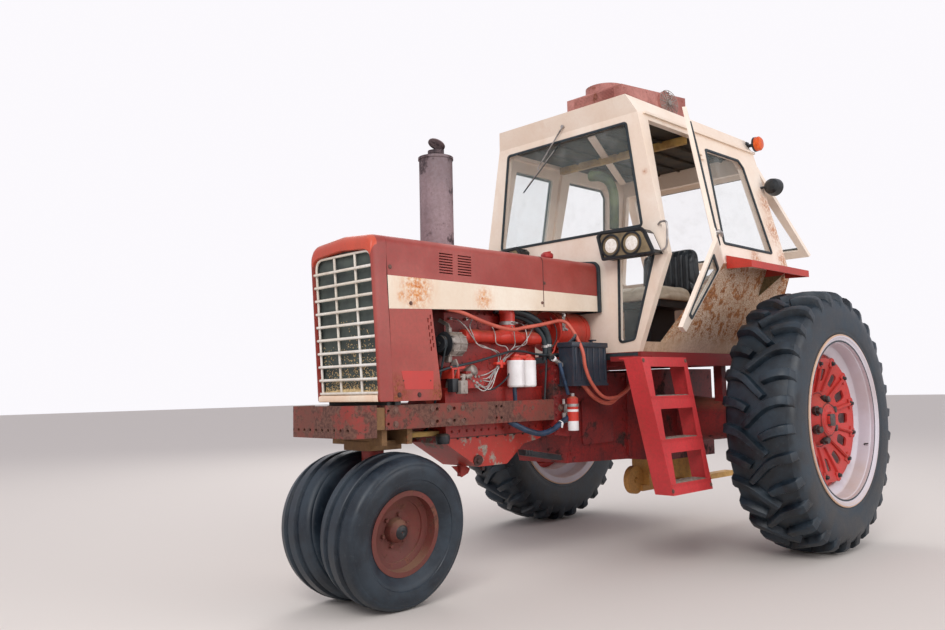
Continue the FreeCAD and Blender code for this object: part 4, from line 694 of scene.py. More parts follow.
def addBar(bm, centre, outward, start, line, look):
    # one tread bar on the outward side; start is its outer end's angle from the top, forward, in radians
    ribs = []
    for off, ahead, top, foot, topHalf, lean in line:
        turn = start + math.radians(ahead)
        slant = math.radians(lean)
        footHalf = topHalf + look["footSpread"]
        section = []
        for half, radius in ((-footHalf, foot), (-topHalf, top), (topHalf, top), (footHalf, foot)):
            angle = turn + half * math.cos(slant) / top
            a = min(off + half * math.sin(slant), 0.2145)
            place = Vector((outward * a, -math.sin(angle) * radius, math.cos(angle) * radius))
            section.append(bm.verts.new(Vector(centre) + place))
        ribs.append(section)
    edges = []
    for first, second in zip(ribs, ribs[1:]):
        for k in range(4):
            bm.faces.new((first[k], first[(k + 1) % 4], second[(k + 1) % 4], second[k]))
        edges += [bm.edges.get((first[1], second[1])), bm.edges.get((first[2], second[2]))]
    bm.faces.new(list(reversed(ribs[0])))
    bm.faces.new(ribs[-1])
    edges += [bm.edges.get((ribs[0][k], ribs[0][k + 1])) for k in range(3)]
    return edges


def addRearTyre(side):
    spin = joint["rear_wheel_" + side + "_spin"]
    look = rearTyreLook
    wheelOut = 1 if spin["pos_m"][0] > 0 else -1
    bm = bmesh.new()
    addTurned(bm, rearTyreProfile(look), spin["pos_m"], (1, 0, 0), look["steps"])
    edges = []
    for k in range(2 * look["pairs"]):
        start = math.radians(look["firstBar"] + 180 * k / look["pairs"])
        for outward in (1, -1):
            line = look["longBar"] if (k % 2 == 0) == (outward > 0) else look["shortBar"]
            edges += addBar(bm, spin["pos_m"], outward * wheelOut, start, line, look)
    bmesh.ops.bevel(bm, geom=edges, offset=look["round"], segments=2, profile=0.6, affect="EDGES")
    tyre = makePiece(bm, "tread_rear_" + side, finishes["tyreRear"], "rear_wheel_" + side, 30)
    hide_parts("rear_tyre_" + side)


for side in ("left", "right"):
    addFrontTyre(side)
    addRearTyre(side)
print("tyres made")


# wheel fittings: bolts, hub caps, valve stems

def wheelAxes(spin):
    axis = Vector(spin["axis"]).normalized()
    if spin["pos_m"][0] * axis.x < 0:
        axis = -axis
    first, second = sideways(axis)
    return Vector(spin["pos_m"]), axis, first, second


frontHubLook = {"bolts": 6, "boltCircle": 0.078}


def addFrontHub(side):
    spin = joint["front_wheel_" + side + "_spin"]
    centre, out, first, second = wheelAxes(spin)
    bm = bmesh.new()
    for k in range(frontHubLook["bolts"]):
        turn = 2 * math.pi * k / frontHubLook["bolts"] + 0.3
        spoke = first * math.cos(turn) + second * math.sin(turn)
        addBolt(bm, centre + spoke * frontHubLook["boltCircle"] + out * -0.003, out, 0.011, 0.014)
    makePiece(bm, "hub_bolts_front_" + side, finishes["rimRust"], "front_wheel_" + side)
    bm = bmesh.new()
    addTurned(bm, [(0.058, 0.0), (0.066, 0.012), (0.064, 0.026), (0.056, 0.036), (0.036, 0.042),
                   (0.036, 0.0)],
              centre, out, 32)
    makePiece(bm, "hub_cap_front_" + side, finishes["blackPart"], "front_wheel_" + side)


# sheet section of the rear rim from the outer flange to the inner one: distance out, radius
rimOuter = [(0.2165, 0.521), (0.2145, 0.5135), (0.2085, 0.508), (0.2035, 0.502), (0.2015, 0.494),
            (0.196, 0.4885), (0.186, 0.4865), (0.181, 0.4845), (0.1765, 0.478), (0.170, 0.4755),
            (0.125, 0.4735), (0.104, 0.472), (0.097, 0.465), (0.079, 0.428), (0.070, 0.418), (0.058, 0.416)]
rimInner = [(-0.072, 0.416), (-0.084, 0.421), (-0.110, 0.468), (-0.118, 0.473), (-0.195, 0.475),
            (-0.2035, 0.482), (-0.206, 0.500), (-0.2115, 0.508), (-0.2125, 0.521)]
rimSeat = [(-0.2035, 0.524), (-0.2005, 0.4825), (0.2005, 0.4825), (0.2035, 0.524)]


def addRearRim(side):
    spin = joint["rear_wheel_" + side + "_spin"]
    centre, out = wheelAxes(spin)[:2]
    bm = bmesh.new()
    addTurned(bm, rimOuter + rimInner + rimSeat, centre, out, 120)
    for away in (0.2095, -0.2065):
        lip = [(away + 0.0065 * math.cos(0.785 * k), 0.5235 + 0.0075 * math.sin(0.785 * k)) for k in range(8)]
        addTurned(bm, lip, centre, out, 120, 1)
    # valve stem in the barrel
    turn = math.radians(-112)
    spoke = Vector((0, -math.sin(turn), math.cos(turn)))
    foot = centre + out * 0.145 + spoke * 0.474
    addTube(bm, [foot, foot - spoke * 0.012 + out * 0.006, foot - spoke * 0.02 + out * 0.03],
            [0.006, 0.005, 0.004], 10, paint=2)
    rim = makePiece(bm, "rolled_rim_" + side, [finishes["rimGrey"], finishes["rimLip"],
                                               finishes["blackPart"]],
                    "rear_wheel_" + side, 32)
    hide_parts("rear_rim_" + side)


# distances out are from the tyre's middle
rearHubLook = {"windows": 12, "earRadius": 0.362, "hubOut": 0.109,
               "wedgeRadius": 0.122, "wedgeOut": 0.082, "wedges": (62, 116, -8, -62, -116, 172)}


def addRearHub(side):
    spin = joint["rear_wheel_" + side + "_spin"]
    centre, out = wheelAxes(spin)[:2]
    look = rearHubLook

    def spokeAt(degrees):
        # from the top, forward
        turn = math.radians(degrees)
        return Vector((0, -math.sin(turn), math.cos(turn)))

    bm = bmesh.new()
    # bolted ears between the windows, each with its nut
    for k in range(look["windows"]):
        spoke = spokeAt((k + 0.5) * 360 / look["windows"])
        across = out.cross(spoke)
        corners = [(-0.034, 0.338), (-0.030, 0.388), (-0.012, 0.399), (0.012, 0.399), (0.030, 0.388),
                   (0.034, 0.338)]
        addPlate(bm, corners, lambda a, b: centre + across * a + spoke * b + out * 0.098, out * 0.0105, 0.002)
        addBolt(bm, centre + spoke * look["earRadius"] + out * 0.108, out, 0.0125, 0.017, 1)
        # a raised web beside each window
        ridge = [centre + spoke * r + out * (0.0365 + (r - 0.17) * 0.335) for r in (0.185, 0.27, 0.35)]
        addTube(bm, ridge, [0.010, 0.013, 0.012], 8, flat=2.0)
    # groove rings turned on the hub's flange, and its face
    for radius, away in ((0.1665, 0.0385), (0.1000, 0.1020)):
        addTurned(bm, [(away, radius), (away + 0.0012, radius + 0.002), (away + 0.0012, radius + 0.0035),
                       (away, radius + 0.0055)], centre, out, 72, 2)
    rim = look["hubOut"]
    addTurned(bm, [(rim, 0.048), (rim + 0.003, 0.050), (rim + 0.003, 0.078), (rim + 0.0005, 0.080),
                   (rim + 0.0005, 0.083), (rim + 0.003, 0.085), (rim + 0.002, 0.090), (rim - 0.004, 0.0915),
                   (rim - 0.006, 0.05)], centre, out, 72)
    makePiece(bm, "disc_fittings_" + side, [finishes["discRed"], finishes["blackPart"],
                                            finishes["jointLine"]],
              "rear_wheel_" + side)
    bm = bmesh.new()
    for degrees in look["wedges"]:
        spoke = spokeAt(degrees)
        foot = centre + spoke * look["wedgeRadius"] + out * (look["wedgeOut"] - 0.02)
        lean = (out + spoke * 0.2).normalized()
        addTube(bm, [foot, foot + lean * 0.022], 0.030, 24)
        addBolt(bm, foot + lean * 0.022, lean, 0.0235, 0.024)
    half = 0.037
    face = rim + 0.004
    square = roundLoop([(-half, -half, 0.008), (half, -half, 0.008), (half, half, 0.008),
                        (-half, half, 0.008)], 4)
    addPlate(bm, square, lambda a, b: centre + Vector((0, a, b)) + out * (face - 0.004), out * 0.021, 0.003)
    makePiece(bm, "hub_wedge_bolts_" + side, finishes["greasyIron"], "rear_wheel_" + side)


for side in ("left", "right"):
    addFrontHub(side)
    addRearRim(side)
    addRearHub(side)
print("wheel fittings made")


# nose and hood

noseLook = {
    "side": 0.257,               # half width of the hood
    "low": 1.003, "high": 1.837, "back": -2.754,
    "lowFront": (-2.803, 1.003), "highFront": (-2.848, 1.777),   # y and z of the leaning front face
    "openHalf": 0.246, "openLow": 1.033, "openHigh": 1.758, "openCorner": 0.070, "openCrown": 0.018,
    "corner": 0.052, "crown": 0.022, "wall": 0.003, "lipDeep": 0.034,
    "wire": 0.0068, "rows": 10, "rowLow": 1.046, "rowHigh": 1.662,
    "loopHalf": 0.235, "loopTop": 1.738, "rowHalf": 0.2475, "posts": (-0.078, 0.094),
}


def noseY(z):
    # the front face of the nose leans forward towards its top
    (y0, z0), (y1, z1) = noseLook["lowFront"], noseLook["highFront"]
    return y0 + (y1 - y0) * min(z - z0, 0.80) / (z1 - z0)


def noseBackY(z):
    # the seam to the hood and the side panels
    return noseLook["back"] + max(0.0, 1.618 - z) * 0.0585


def noseLoop(half, low, high, corner, crown, foot):
    # closed front outline, from the lower left round to the upper left
    corners = [(-half, low, foot), (half, low, foot), (half, high - crown, corner), (0, high, 0.24),
               (-half, high - crown, corner)]
    return roundLoop(corners, 10)


def addNoseShell(look):
    inner = noseLoop(look["openHalf"], look["openLow"], look["openHigh"], look["openCorner"],
                     look["openCrown"], 0.012)
    front = noseLoop(look["side"], look["low"], look["high"], look["corner"], look["crown"], 0.004)
    rear = noseLoop(look["side"], look["low"], look["high"], 0.045, look["crown"], 0.004)
    bm = bmesh.new()
    rings = []
    for i, (a, b) in enumerate(zip(inner, front)):
        near, far, last = Vector(a), Vector(b), Vector(rear[i])
        width = (far - near).length
        out = (far - near) / width
        roll = min(0.010 + 0.045 * max(0.0, out.y) ** 2, width - 0.003)
        lip = look["lipDeep"]
        line = [(0, lip), (0, 0.006), (0.0008, 0.0018), (0.0026, 0.0)]
        for k in range(6):
            turn = math.radians(18 * k)
            line.append((width - roll + roll * math.sin(turn), roll * (1 - math.cos(turn))))
        ring = []
        for along, deep in line:
            spot = near + out * along
            ring.append(bm.verts.new(at(spot.x, noseY(spot.y) + deep, spot.y)))
        # back along the sides to the seam, then inside
        wall = look["wall"]
        for share, inset in ((0.35, 0), (1.0, 0), (1.0, wall), (0.3, wall)):
            spot = far.lerp(last, share) - out * inset
            start = noseY(spot.y) + roll
            y = start + (noseBackY(spot.y) - start) * share
            ring.append(bm.verts.new(at(spot.x, y, spot.y)))
        spot = near + out * wall
        ring.append(bm.verts.new(at(spot.x, noseY(spot.y) + 0.012, spot.y)))
        ring.append(bm.verts.new(at(spot.x, noseY(spot.y) + lip, spot.y)))
        rings.append(ring)
    count = len(rings[0])
    for i, ring in enumerate(rings):
        following = rings[(i + 1) % len(rings)]
        for k in range(count):
            j = (k + 1) % count
            bm.faces.new((ring[k], ring[j], following[j], following[k]))
    # the top band's face gets a brighter red, a painted highlight
    for face in bm.faces:
        middle = face.calc_center_median()
        if middle.z > look["openHigh"] - 0.045 and middle.y < at(0, noseY(middle.z) + 0.030, 0).y:
            face.material_index = 1
    shell = makePiece(bm, "nose_sheet", [finishes["noseRed"], finishes["noseTopHighlight"]], "chassis", 40)
    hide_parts("nose_shell")


def addGrille(look):
    bm = bmesh.new()
    wire = look["wire"]
    half, top, low = look["loopHalf"], look["loopTop"], look["rowLow"]
    loop = roundLoop([(-half, low, 0.003), (-half, top, 0.060), (half, top, 0.060), (half, low, 0.003)], 8)
    addTube(bm, [at(x, noseY(z) + 0.021, z) for x, z in loop], wire, 12, closed=True)
    for x in look["posts"]:
        addTube(bm, [at(x, noseY(low) + 0.024, low), at(x, noseY(top) + 0.024, top)], wire, 12)
    for row in range(look["rows"]):
        z = low + (look["rowHigh"] - low) * row / (look["rows"] - 1)
        y = noseY(z) + 0.0125
        ends = look["rowHalf"]
        addTube(bm, [at(-ends, y, z), at(-ends + 0.003, y, z), at(ends - 0.003, y, z), at(ends, y, z)],
                [wire * 0.6, wire * 1.08, wire * 1.08, wire * 0.6], 14)
    grille = makePiece(bm, "grille_wires", finishes["grilleWhite"], "chassis")
    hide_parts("grille")
    # the sill plate: its pale cream is painted sunlight on the top of the nose's bottom lip
    bm = bmesh.new()
    y = noseY(low)
    face = [(y + 0.0005, 1.0035), (y - 0.0022, 1.006), (y - 0.0022, 1.027), (y + 0.003, 1.0345),
            (y + 0.042, 1.0425), (y + 0.042, 1.0345)]
    addPlate(bm, face, lambda a, b: at(-look["openHalf"] + 0.003, a, b), (2 * look["openHalf"] - 0.006, 0, 0),
             0.001)
    makePiece(bm, "grille_sill", finishes["sillPaintedSunlight"], "chassis")
    # woven screen close behind the wires, in a folded rim
    bm = bmesh.new()
    inner = noseLoop(look["openHalf"] + 0.004, low - 0.010, look["openHigh"] + 0.004, look["openCorner"],
                     look["openCrown"], 0.01)
    addPlate(bm, inner, lambda a, b: at(a, noseY(b) + 0.0365, b), (0, 0.0025, 0))
    makePiece(bm, "grille_screen", finishes["screenMesh"], "chassis", 60)


def addChaff():
    # dry husks caught at the foot of the screen, thinning out upwards
    random.seed(4)
    bm = bmesh.new()
    columns, rows = 70, 6
    grid = []
    for i in range(columns + 1):
        x = -0.240 + 0.480 * i / columns
        line = []
        for k in range(rows + 1):
            share = k / rows
            y = noseY(1.06) + 0.020 + 0.0155 * share
            high = (0.002 + 0.020 * share ** 1.3) * (0.7 + 0.5 * math.sin(5 + 7 * x) ** 2)
            line.append(bm.verts.new(at(x, y, 1.0415 + high + random.uniform(-0.002, 0.003) * share)))
        grid.append(line)
    for i in range(columns):
        for k in range(rows):
            bm.faces.new((grid[i][k], grid[i + 1][k], grid[i + 1][k + 1], grid[i][k + 1]))
    edge = [e for e in bm.edges if e.is_boundary]
    made = bmesh.ops.extrude_edge_only(bm, edges=edge)["geom"]
    for vert in [v for v in made if isinstance(v, bmesh.types.BMVert)]:
        vert.co.z = 1.0405
    for _ in range(1100):
        x = random.uniform(-0.238, 0.238)
        up = random.random() ** 3.2 * 0.24
        if random.random() < 0.25:
            x = 0.05 + random.gauss(0, 0.07)
            up *= 1.5
        z = 1.049 + up
        size = random.uniform(0.0014, 0.0042)
        spot = at(max(-0.226, min(0.226, x)), noseY(z) + 0.0352, z)
        turn = Matrix.Translation(spot) @ Matrix.Rotation(random.uniform(0, 3.1), 4, "Y")
        addBox(bm, (-size, -0.0006, -size * 0.5), (size, 0.0014, size * 0.5), 0, turn)
    makePiece(bm, "chaff_in_nose", finishes["chaff"], "chassis", 60)


hoodLook = {
    "frontZ": 1.837, "rearZ": 1.848, "front": -2.752, "rear": -1.0303, "crown": 0.022, "corner": 0.045,
    "joint": -1.585,                 # the hood's two halves meet here
    "stripeLow": 1.523,
}


def hoodOutline(y, steps=5):
    look = hoodLook
    rise = look["rearZ"] - look["frontZ"]
    top = look["frontZ"] + rise * (y - look["front"]) / (look["rear"] - look["front"])
    low = look["stripeLow"]
    half = noseLook["side"]
    corners = [(half, low, 0.001), (half, top - look["crown"], look["corner"]), (0, top, 0.3),
               (-half, top - look["crown"], look["corner"]), (-half, low, 0.001)]
    loop = roundLoop(corners, steps)
    line = [at(x, y, z) for x, z in loop]
    line.sort(key=lambda p: math.atan2(p.z - 1.6, p.x))
    return [p for p in line if p.z > low - 0.002]


def addHoodTrim():
    middle = at(0, -1.8, 1.6)
    bm = bmesh.new()
    addStrip(bm, hoodOutline(-1.066), (0, 0.032, 0), 0.008, middle)
    line = hoodOutline(-1.066)
    addTube(bm, [p + Vector((0, 0.014, 0)) + (p - Vector((middle.x, p.y, middle.z))).normalized() * 0.008
                 for p in line], 0.0075, 8)
    makePiece(bm, "hood_rear_rubber", finishes["seal"], "chassis", 40)
    bm = bmesh.new()
    addStrip(bm, hoodOutline(hoodLook["joint"]), (0, 0.006, 0), 0.0006, middle)
    makePiece(bm, "hood_joint", finishes["jointLine"], "chassis")
    bm = bmesh.new()
    x = noseLook["side"]
    for side in (1, -1):
        for y, z, size in ((-2.731, 1.659, 0.0085), (-1.572, 1.663, 0.0075), (-2.600, 1.487, 0.008),
                           (-1.597, 1.546, 0.007)):
            addBolt(bm, at(side * x, y, z), (side, 0, 0), size, 0.006)
    makePiece(bm, "hood_bolts", finishes["rustyBolt"], "chassis")
    bm = bmesh.new()
    for side in (1, -1):
        for y, z in ((-2.682, 1.034), (-2.553, 1.032)):
            addBolt(bm, at(side * x, y, z), (side, 0, 0), 0.0095, 0.005)
        for y, z in ((-2.654, 1.103), (-2.477, 1.102)):
            addBolt(bm, at(side * x, y, z), (side, 0, 0), 0.003, 0.002)
    makePiece(bm, "side_panel_bolts", finishes["darkBolt"], "chassis")
    bm = bmesh.new()
    for side in (1, -1):
        patch = roundLoop([(-2.668, 1.151, 0.006), (-2.457, 1.151, 0.004), (-2.459, 1.058, 0.004),
                           (-2.643, 1.060, 0.006)], 3)
        addPlate(bm, patch, lambda a, b: at(side * x, a, b), (side * 0.0009, 0, 0))
    makePiece(bm, "side_panel_patch", finishes["patchRed"], "chassis")
    bm = bmesh.new()
    top = at(0.0, -1.235, 1.8455)
    addTurned(bm, [(0, 0), (0, 0.034), (0.028, 0.034), (0.034, 0.040), (0.052, 0.040), (0.060, 0.034),
                   (0.064, 0)],
              top, (0, 0, 1), 28)
    addTube(bm, [top + Vector((-0.028, 0, 0.066)), top + Vector((0.028, 0, 0.066))], 0.006, 8)
    makePiece(bm, "filler_cap", finishes["capRed"], "chassis")


addNoseShell(noseLook)
addGrille(noseLook)
addChaff()
addHoodTrim()
print("nose and hood dressed")


# side rails and front end

railBolts = [(-2.694, 0.962, 0.013), (-2.459, 0.961, 0.015), (-2.338, 0.959, 0.014), (-2.241, 0.957, 0.012),
             (-2.694, 0.892, 0.013), (-2.459, 0.889, 0.014), (-2.338, 0.889, 0.014), (-2.241, 0.888, 0.012),
             (-1.439, 0.934, 0.017)]   # y, z, radius


def addRailBolts():
    bm = bmesh.new()
    for side in (1, -1):
        for y, z, radius in railBolts:
            addBolt(bm, at(side * 0.241, y, z), (side, 0, 0), radius, radius * 0.5)
    makePiece(bm, "rail_bolts", finishes["rustyBolt"], "chassis")
    bm = bmesh.new()
    # yellow spacer bar and a round foot below the rails
    addBox(bm, at(-0.10, -2.50, 0.812), at(0.10, -2.13, 0.838), 0.006)
    makePiece(bm, "spacer_bar", finishes["yellowBar"], "chassis")
    bm = bmesh.new()
    for side in (1, -1):
        addTurned(bm, [(0, 0), (0, 0.034), (0.018, 0.038), (0.040, 0.038), (0.052, 0.030), (0.052, 0)],
                  at(side * 0.15, -2.303, 0.772), (0, 0, 1), 24)
    makePiece(bm, "rubber_feet", finishes["blackPart"], "chassis")
    bm = bmesh.new()
    # pointed bracket hanging under the engine, with its folded foot
    addPlate(bm, [(-2.040, 0.690), (-2.020, 0.690), (-2.035, 0.640), (-1.985, 0.612), (-2.002, 0.588),
                  (-2.052, 0.570), (-2.068, 0.584)], lambda a, b: at(0.02, a, b), (0.006, 0, 0))
    addPlate(bm, [(-2.112, 0.634), (-2.056, 0.632), (-2.060, 0.590)], lambda a, b: at(0.006, a, b),
             (0.006, 0, 0))
    addBox(bm, at(0.0, -2.062, 0.575), at(0.03, -2.050, 0.640), 0.001)
    makePiece(bm, "pointed_bracket", finishes["legRed"], "chassis")


addRailBolts()
print("rails dressed")


# engine bay

alternatorLook = {"centre": (0.180, 1.295), "front": -2.295, "radius": 0.064, "pulley": 0.043, "fan": 0.066,
                  "crank": (0.0, 0.930), "crankRadius": 0.101}


def addAlternator(look):
    x, z = look["centre"]
    front, radius = look["front"], look["radius"]
    bm = bmesh.new()
    profile = [(0.0, 0.0), (0.0, radius * 0.72), (0.008, radius * 0.93), (0.016, radius), (0.044, radius),
               (0.046, radius * 0.955), (0.050, radius * 0.955), (0.052, radius * 1.02),
               (0.070, radius * 1.02), (0.072, radius * 0.97), (0.098, radius * 0.95), (0.112, radius * 0.80),
               (0.116, radius * 0.45), (0.116, 0.0)]
    centre = at(x, front, z)
    addTurned(bm, profile, centre, (0, 1, 0), 40)
    for k in range(10):
        turn = 2 * math.pi * k / 10
        out = Vector((math.cos(turn), 0, math.sin(turn)))
        addTube(bm, [centre + out * radius * 0.98 + Vector((0, 0.004, 0)),
                     centre + out * radius * 0.98 + Vector((0, 0.098, 0))], 0.0048, 6)
    # lugs above and below
    addBox(bm, centre + Vector((-0.014, 0.012, 0.055)), centre + Vector((0.014, 0.034, 0.088)), 0.004)
    addBox(bm, centre + Vector((-0.030, 0.012, -0.098)), centre + Vector((0.006, 0.040, -0.050)), 0.005)
    body = makePiece(bm, "alternator_body", finishes["castAluminium"], "chassis", 30)
    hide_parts("alternator")
    bm = bmesh.new()
    groove = look["pulley"]
    addTurned(bm, [(-0.048, 0), (-0.048, groove), (-0.042, groove), (-0.036, groove * 0.78), (-0.030, groove),
                   (-0.024, groove), (-0.022, 0.02), (-0.018, 0.02), (-0.016, look["fan"]),
                   (-0.013, look["fan"]), (-0.012, 0.0)], centre, (0, 1, 0), 32)
    for k in range(10):
        turn = 2 * math.pi * k / 10
        out = Vector((math.cos(turn), 0, math.sin(turn)))
        across = Vector((-out.z, 0, out.x))
        hub = centre + Vector((0, -0.012, 0))
        addPlate(bm, [(0.03, 0), (look["fan"], 0), (look["fan"], 0.012), (0.034, 0.010)],
                 lambda a, b: hub + out * a + Vector((0, b, 0)), across * 0.002)
    # front plate bearing nut
    addTube(bm, [centre + Vector((0, -0.060, 0)), centre + Vector((0, -0.046, 0))], 0.012, 6)
    makePiece(bm, "alternator_pulley", finishes["blackPart"], "chassis", 30)
    bm = bmesh.new()
    # belt round the alternator and the crank pulley
    crank, crankRadius = look["crank"], look["crankRadius"]
    run = Vector((crank[0] - x, crank[1] - z))
    length = run.length
    lean = math.atan2(run.y, run.x)
    spread = math.acos((groove * 0.93 - crankRadius) / length)
    belt = []
    for (cx, cz), radius, start, stop in (((x, z), groove * 0.93, lean + spread, lean + 2 * math.pi - spread),
                                         (crank, crankRadius, lean - spread, lean + spread)):
        for k in range(13):
            turn = start + (stop - start) * k / 12
            belt.append(at(cx + math.cos(turn) * radius, front - 0.036, cz + math.sin(turn) * radius))
    addTube(bm, belt, 0.0065, 6, closed=True)
    makePiece(bm, "fan_belt", finishes["seal"], "chassis", 40)
    bm = bmesh.new()
    # brace below the alternator, slotted strap above
    addPlate(bm, [(0.176, 1.205), (0.206, 1.215), (0.222, 1.185), (0.190, 1.120), (0.150, 1.062),
                  (0.128, 1.062), (0.128, 1.085)], lambda a, b: at(a, front + 0.040, b), (0, 0.012, 0), 0.002)
    addPlate(bm, [(0.168, 1.372), (0.192, 1.378), (0.180, 1.404), (0.112, 1.436), (0.100, 1.420),
                  (0.160, 1.392)],
             lambda a, b: at(a, front + 0.018, b), (0, 0.008, 0))
    makePiece(bm, "alternator_brackets", finishes["castAluminium"], "chassis")


manifoldLook = {"x": 0.165, "z": 1.345, "radius": 0.034, "riser": -1.800, "ports": (-2.080, -1.835, -1.590)}


def addManifold(look):
    x, z, r = look["x"], look["z"], look["radius"]
    bm = bmesh.new()
    for y in look["ports"]:
        addTube(bm, [at(x - 0.004, y - r * 1.5, z), at(x - 0.004, y - r * 0.9, z),
                     at(x - 0.004, y + r * 0.9, z), at(x - 0.004, y + r * 1.5,
                                                       z)], [r * 1.0, r * 1.16, r * 1.16, r * 1.0], 24)
        addPlate(bm, roundLoop([(y - 0.044, z - 0.036, 0.012), (y + 0.044, z - 0.036, 0.012),
                                (y + 0.044, z + 0.036, 0.012), (y - 0.044, z + 0.036, 0.012)], 3),
                 lambda a, b: at(0.108, a, b), (0.014, 0, 0), 0.002)
    # swelling where the riser leaves the log
    addTube(bm, [at(x, look["riser"] - 0.085, z), at(x, look["riser"] - 0.045, z + 0.006),
                 at(x, look["riser"] + 0.045, z + 0.006), at(x, look["riser"] + 0.085, z)],
            [r * 1.01, r * 1.3, r * 1.3, r * 1.01], 24)
    bend = smoothLine([at(x, look["riser"], 1.470), at(x - 0.004, look["riser"] - 0.008, 1.500),
                       at(x - 0.040, look["riser"] - 0.050, 1.535),
                       at(x - 0.075, look["riser"] - 0.110, 1.545)], 6)
    addTube(bm, bend, 0.042, 24)
    makePiece(bm, "manifold_details", finishes["manifoldRed"], "chassis", 40)
    bm = bmesh.new()
    for y in look["ports"]:
        for way in (-1, 1):
            addBolt(bm, at(0.122, y + way * 0.033, z + way * 0.024), (1, 0, 0), 0.008, 0.010)
    # plugs along the block
    for k in range(5):
        y = -2.18 + k * 0.145
        addTurned(bm, [(0, 0), (0, 0.022), (0.004, 0.022), (0.004, 0.017), (0.001, 0.015), (0.001, 0)],
                  at(0.1078, y, 1.185), (1, 0, 0), 20)
    for k in range(13):
        y = -2.235 + k * 0.056
        addBolt(bm, at(0.1505, y, 0.832), (1, 0, 0), 0.007, 0.008)
    makePiece(bm, "engine_bolts", finishes["engineRed"], "chassis")
    bm = bmesh.new()
    riser = at(x, look["riser"], 1.424)
    addTurned(bm, [(-0.010, 0.0445), (-0.010, 0.0475), (0.010, 0.0475), (0.010, 0.0445)], riser, (0, 0, 1),
              32)
    addTube(bm, [riser + Vector((0.050, 0.030, 0)), riser + Vector((0.052, -0.014, 0))], 0.006, 8)
    for centre, axis, size in ((at(0.203, -1.487, 1.300), (0, 0.1, 1), 0.0215),
                               (at(0.196, -1.512, 1.296), (0, 0, 1), 0.0175)):
        addTurned(bm, [(-0.007, size), (-0.007, size + 0.0025), (0.007, size + 0.0025), (0.007, size)],
                  centre, axis, 24)
    makePiece(bm, "hose_clamps", finishes["steel"], "chassis", 30)


def addEngineTop():
    # valve cover with its rim and nuts, and the edges of the head
    bm = bmesh.new()
    rim = roundLoop([(-0.094, -2.218, 0.02), (0.094, -2.218, 0.02), (0.094, -1.542, 0.02),
                     (-0.094, -1.542, 0.02)], 4)
    addPlate(bm, rim, lambda a, b: at(a, b, 1.470), (0, 0, 0.012), 0.002)
    for y in (-2.10, -1.88, -1.66):
        addBolt(bm, at(0, y, 1.540), (0, 0, 1), 0.013, 0.014)
    for k in range(12):
        y = -2.20 + k * 0.0575
        for side in (1, -1):
            addBolt(bm, at(side * 0.101, y, 1.470), (0, 0, 1), 0.006, 0.010)
    addStrip(bm, [at(0.108, -2.285, 1.335), at(0.108, -1.495, 1.335)], (0, 0, 0.006), 0.004,
             at(0, -1.9, 1.335))
    addStrip(bm, [at(0.108, -2.285, 1.052), at(0.150, -2.285, 1.052), at(0.150, -1.495, 1.052),
                  at(0.108, -1.495, 1.052)], (0, 0, 0.012), 0.004, at(0, -1.9, 1.06))
    makePiece(bm, "engine_trim", finishes["engineRed"], "chassis")


injectorLines = [
    # x, y, z of each line from the head to the bundle
    [(0.112, -2.200, 1.440), (0.190, -2.215, 1.425), (0.206, -2.190, 1.400), (0.207, -2.165, 1.380),
     (0.208, -2.109, 1.318), (0.210, -2.069, 1.286), (0.212, -1.997, 1.273), (0.214, -1.944, 1.261),
     (0.218, -1.921, 1.238), (0.224, -1.935, 1.202)],
    [(0.112, -2.080, 1.440), (0.185, -2.100, 1.440), (0.204, -2.140, 1.395), (0.206, -2.119, 1.347),
     (0.208, -2.094, 1.300), (0.211, -2.045, 1.288), (0.213, -1.965, 1.262), (0.217, -1.940, 1.240),
     (0.224, -1.945, 1.202)],
    [(0.112, -1.985, 1.440), (0.180, -1.975, 1.425), (0.204, -1.961, 1.389), (0.207, -1.946, 1.352),
     (0.208, -1.942, 1.308), (0.210, -1.910, 1.293), (0.212, -1.867, 1.287), (0.216, -1.853, 1.257),
     (0.221, -1.891, 1.226), (0.226, -1.935, 1.196)],
    [(0.112, -1.800, 1.440), (0.214, -1.812, 1.400), (0.222, -1.805, 1.345), (0.216, -1.797, 1.300),
     (0.216, -1.835, 1.265), (0.220, -1.880, 1.234), (0.226, -1.930, 1.194)],
    [(0.112, -1.700, 1.440), (0.185, -1.690, 1.420), (0.204, -1.686, 1.380), (0.206, -1.681, 1.329),
     (0.208, -1.709, 1.300), (0.212, -1.800, 1.284), (0.218, -1.869, 1.242), (0.227, -1.928, 1.192)],
    [(0.112, -1.590, 1.440), (0.185, -1.600, 1.418), (0.203, -1.640, 1.380), (0.205, -1.700, 1.318),
     (0.209, -1.780, 1.270), (0.216, -1.880, 1.222), (0.228, -1.936, 1.190)],
]
pumpEnds = [  # where each line comes down on the pump, by way of a bend
    [(0.229, -1.985, 1.150), (0.226, -2.045, 1.110), (0.200, -2.090, 1.120)],
    [(0.230, -1.972, 1.160), (0.234, -2.010, 1.096), (0.206, -2.100, 1.110)],
    [(0.228, -1.992, 1.136), (0.236, -2.052, 1.066), (0.214, -2.120, 1.092)],
    [(0.232, -1.966, 1.150), (0.238, -2.028, 1.054), (0.220, -2.105, 1.078)],
    [(0.226, -2.000, 1.150), (0.222, -2.070, 1.128), (0.192, -2.115, 1.134)],
    [(0.233, -1.980, 1.126), (0.240, -2.070, 1.046), (0.222, -2.126, 1.070)],
]


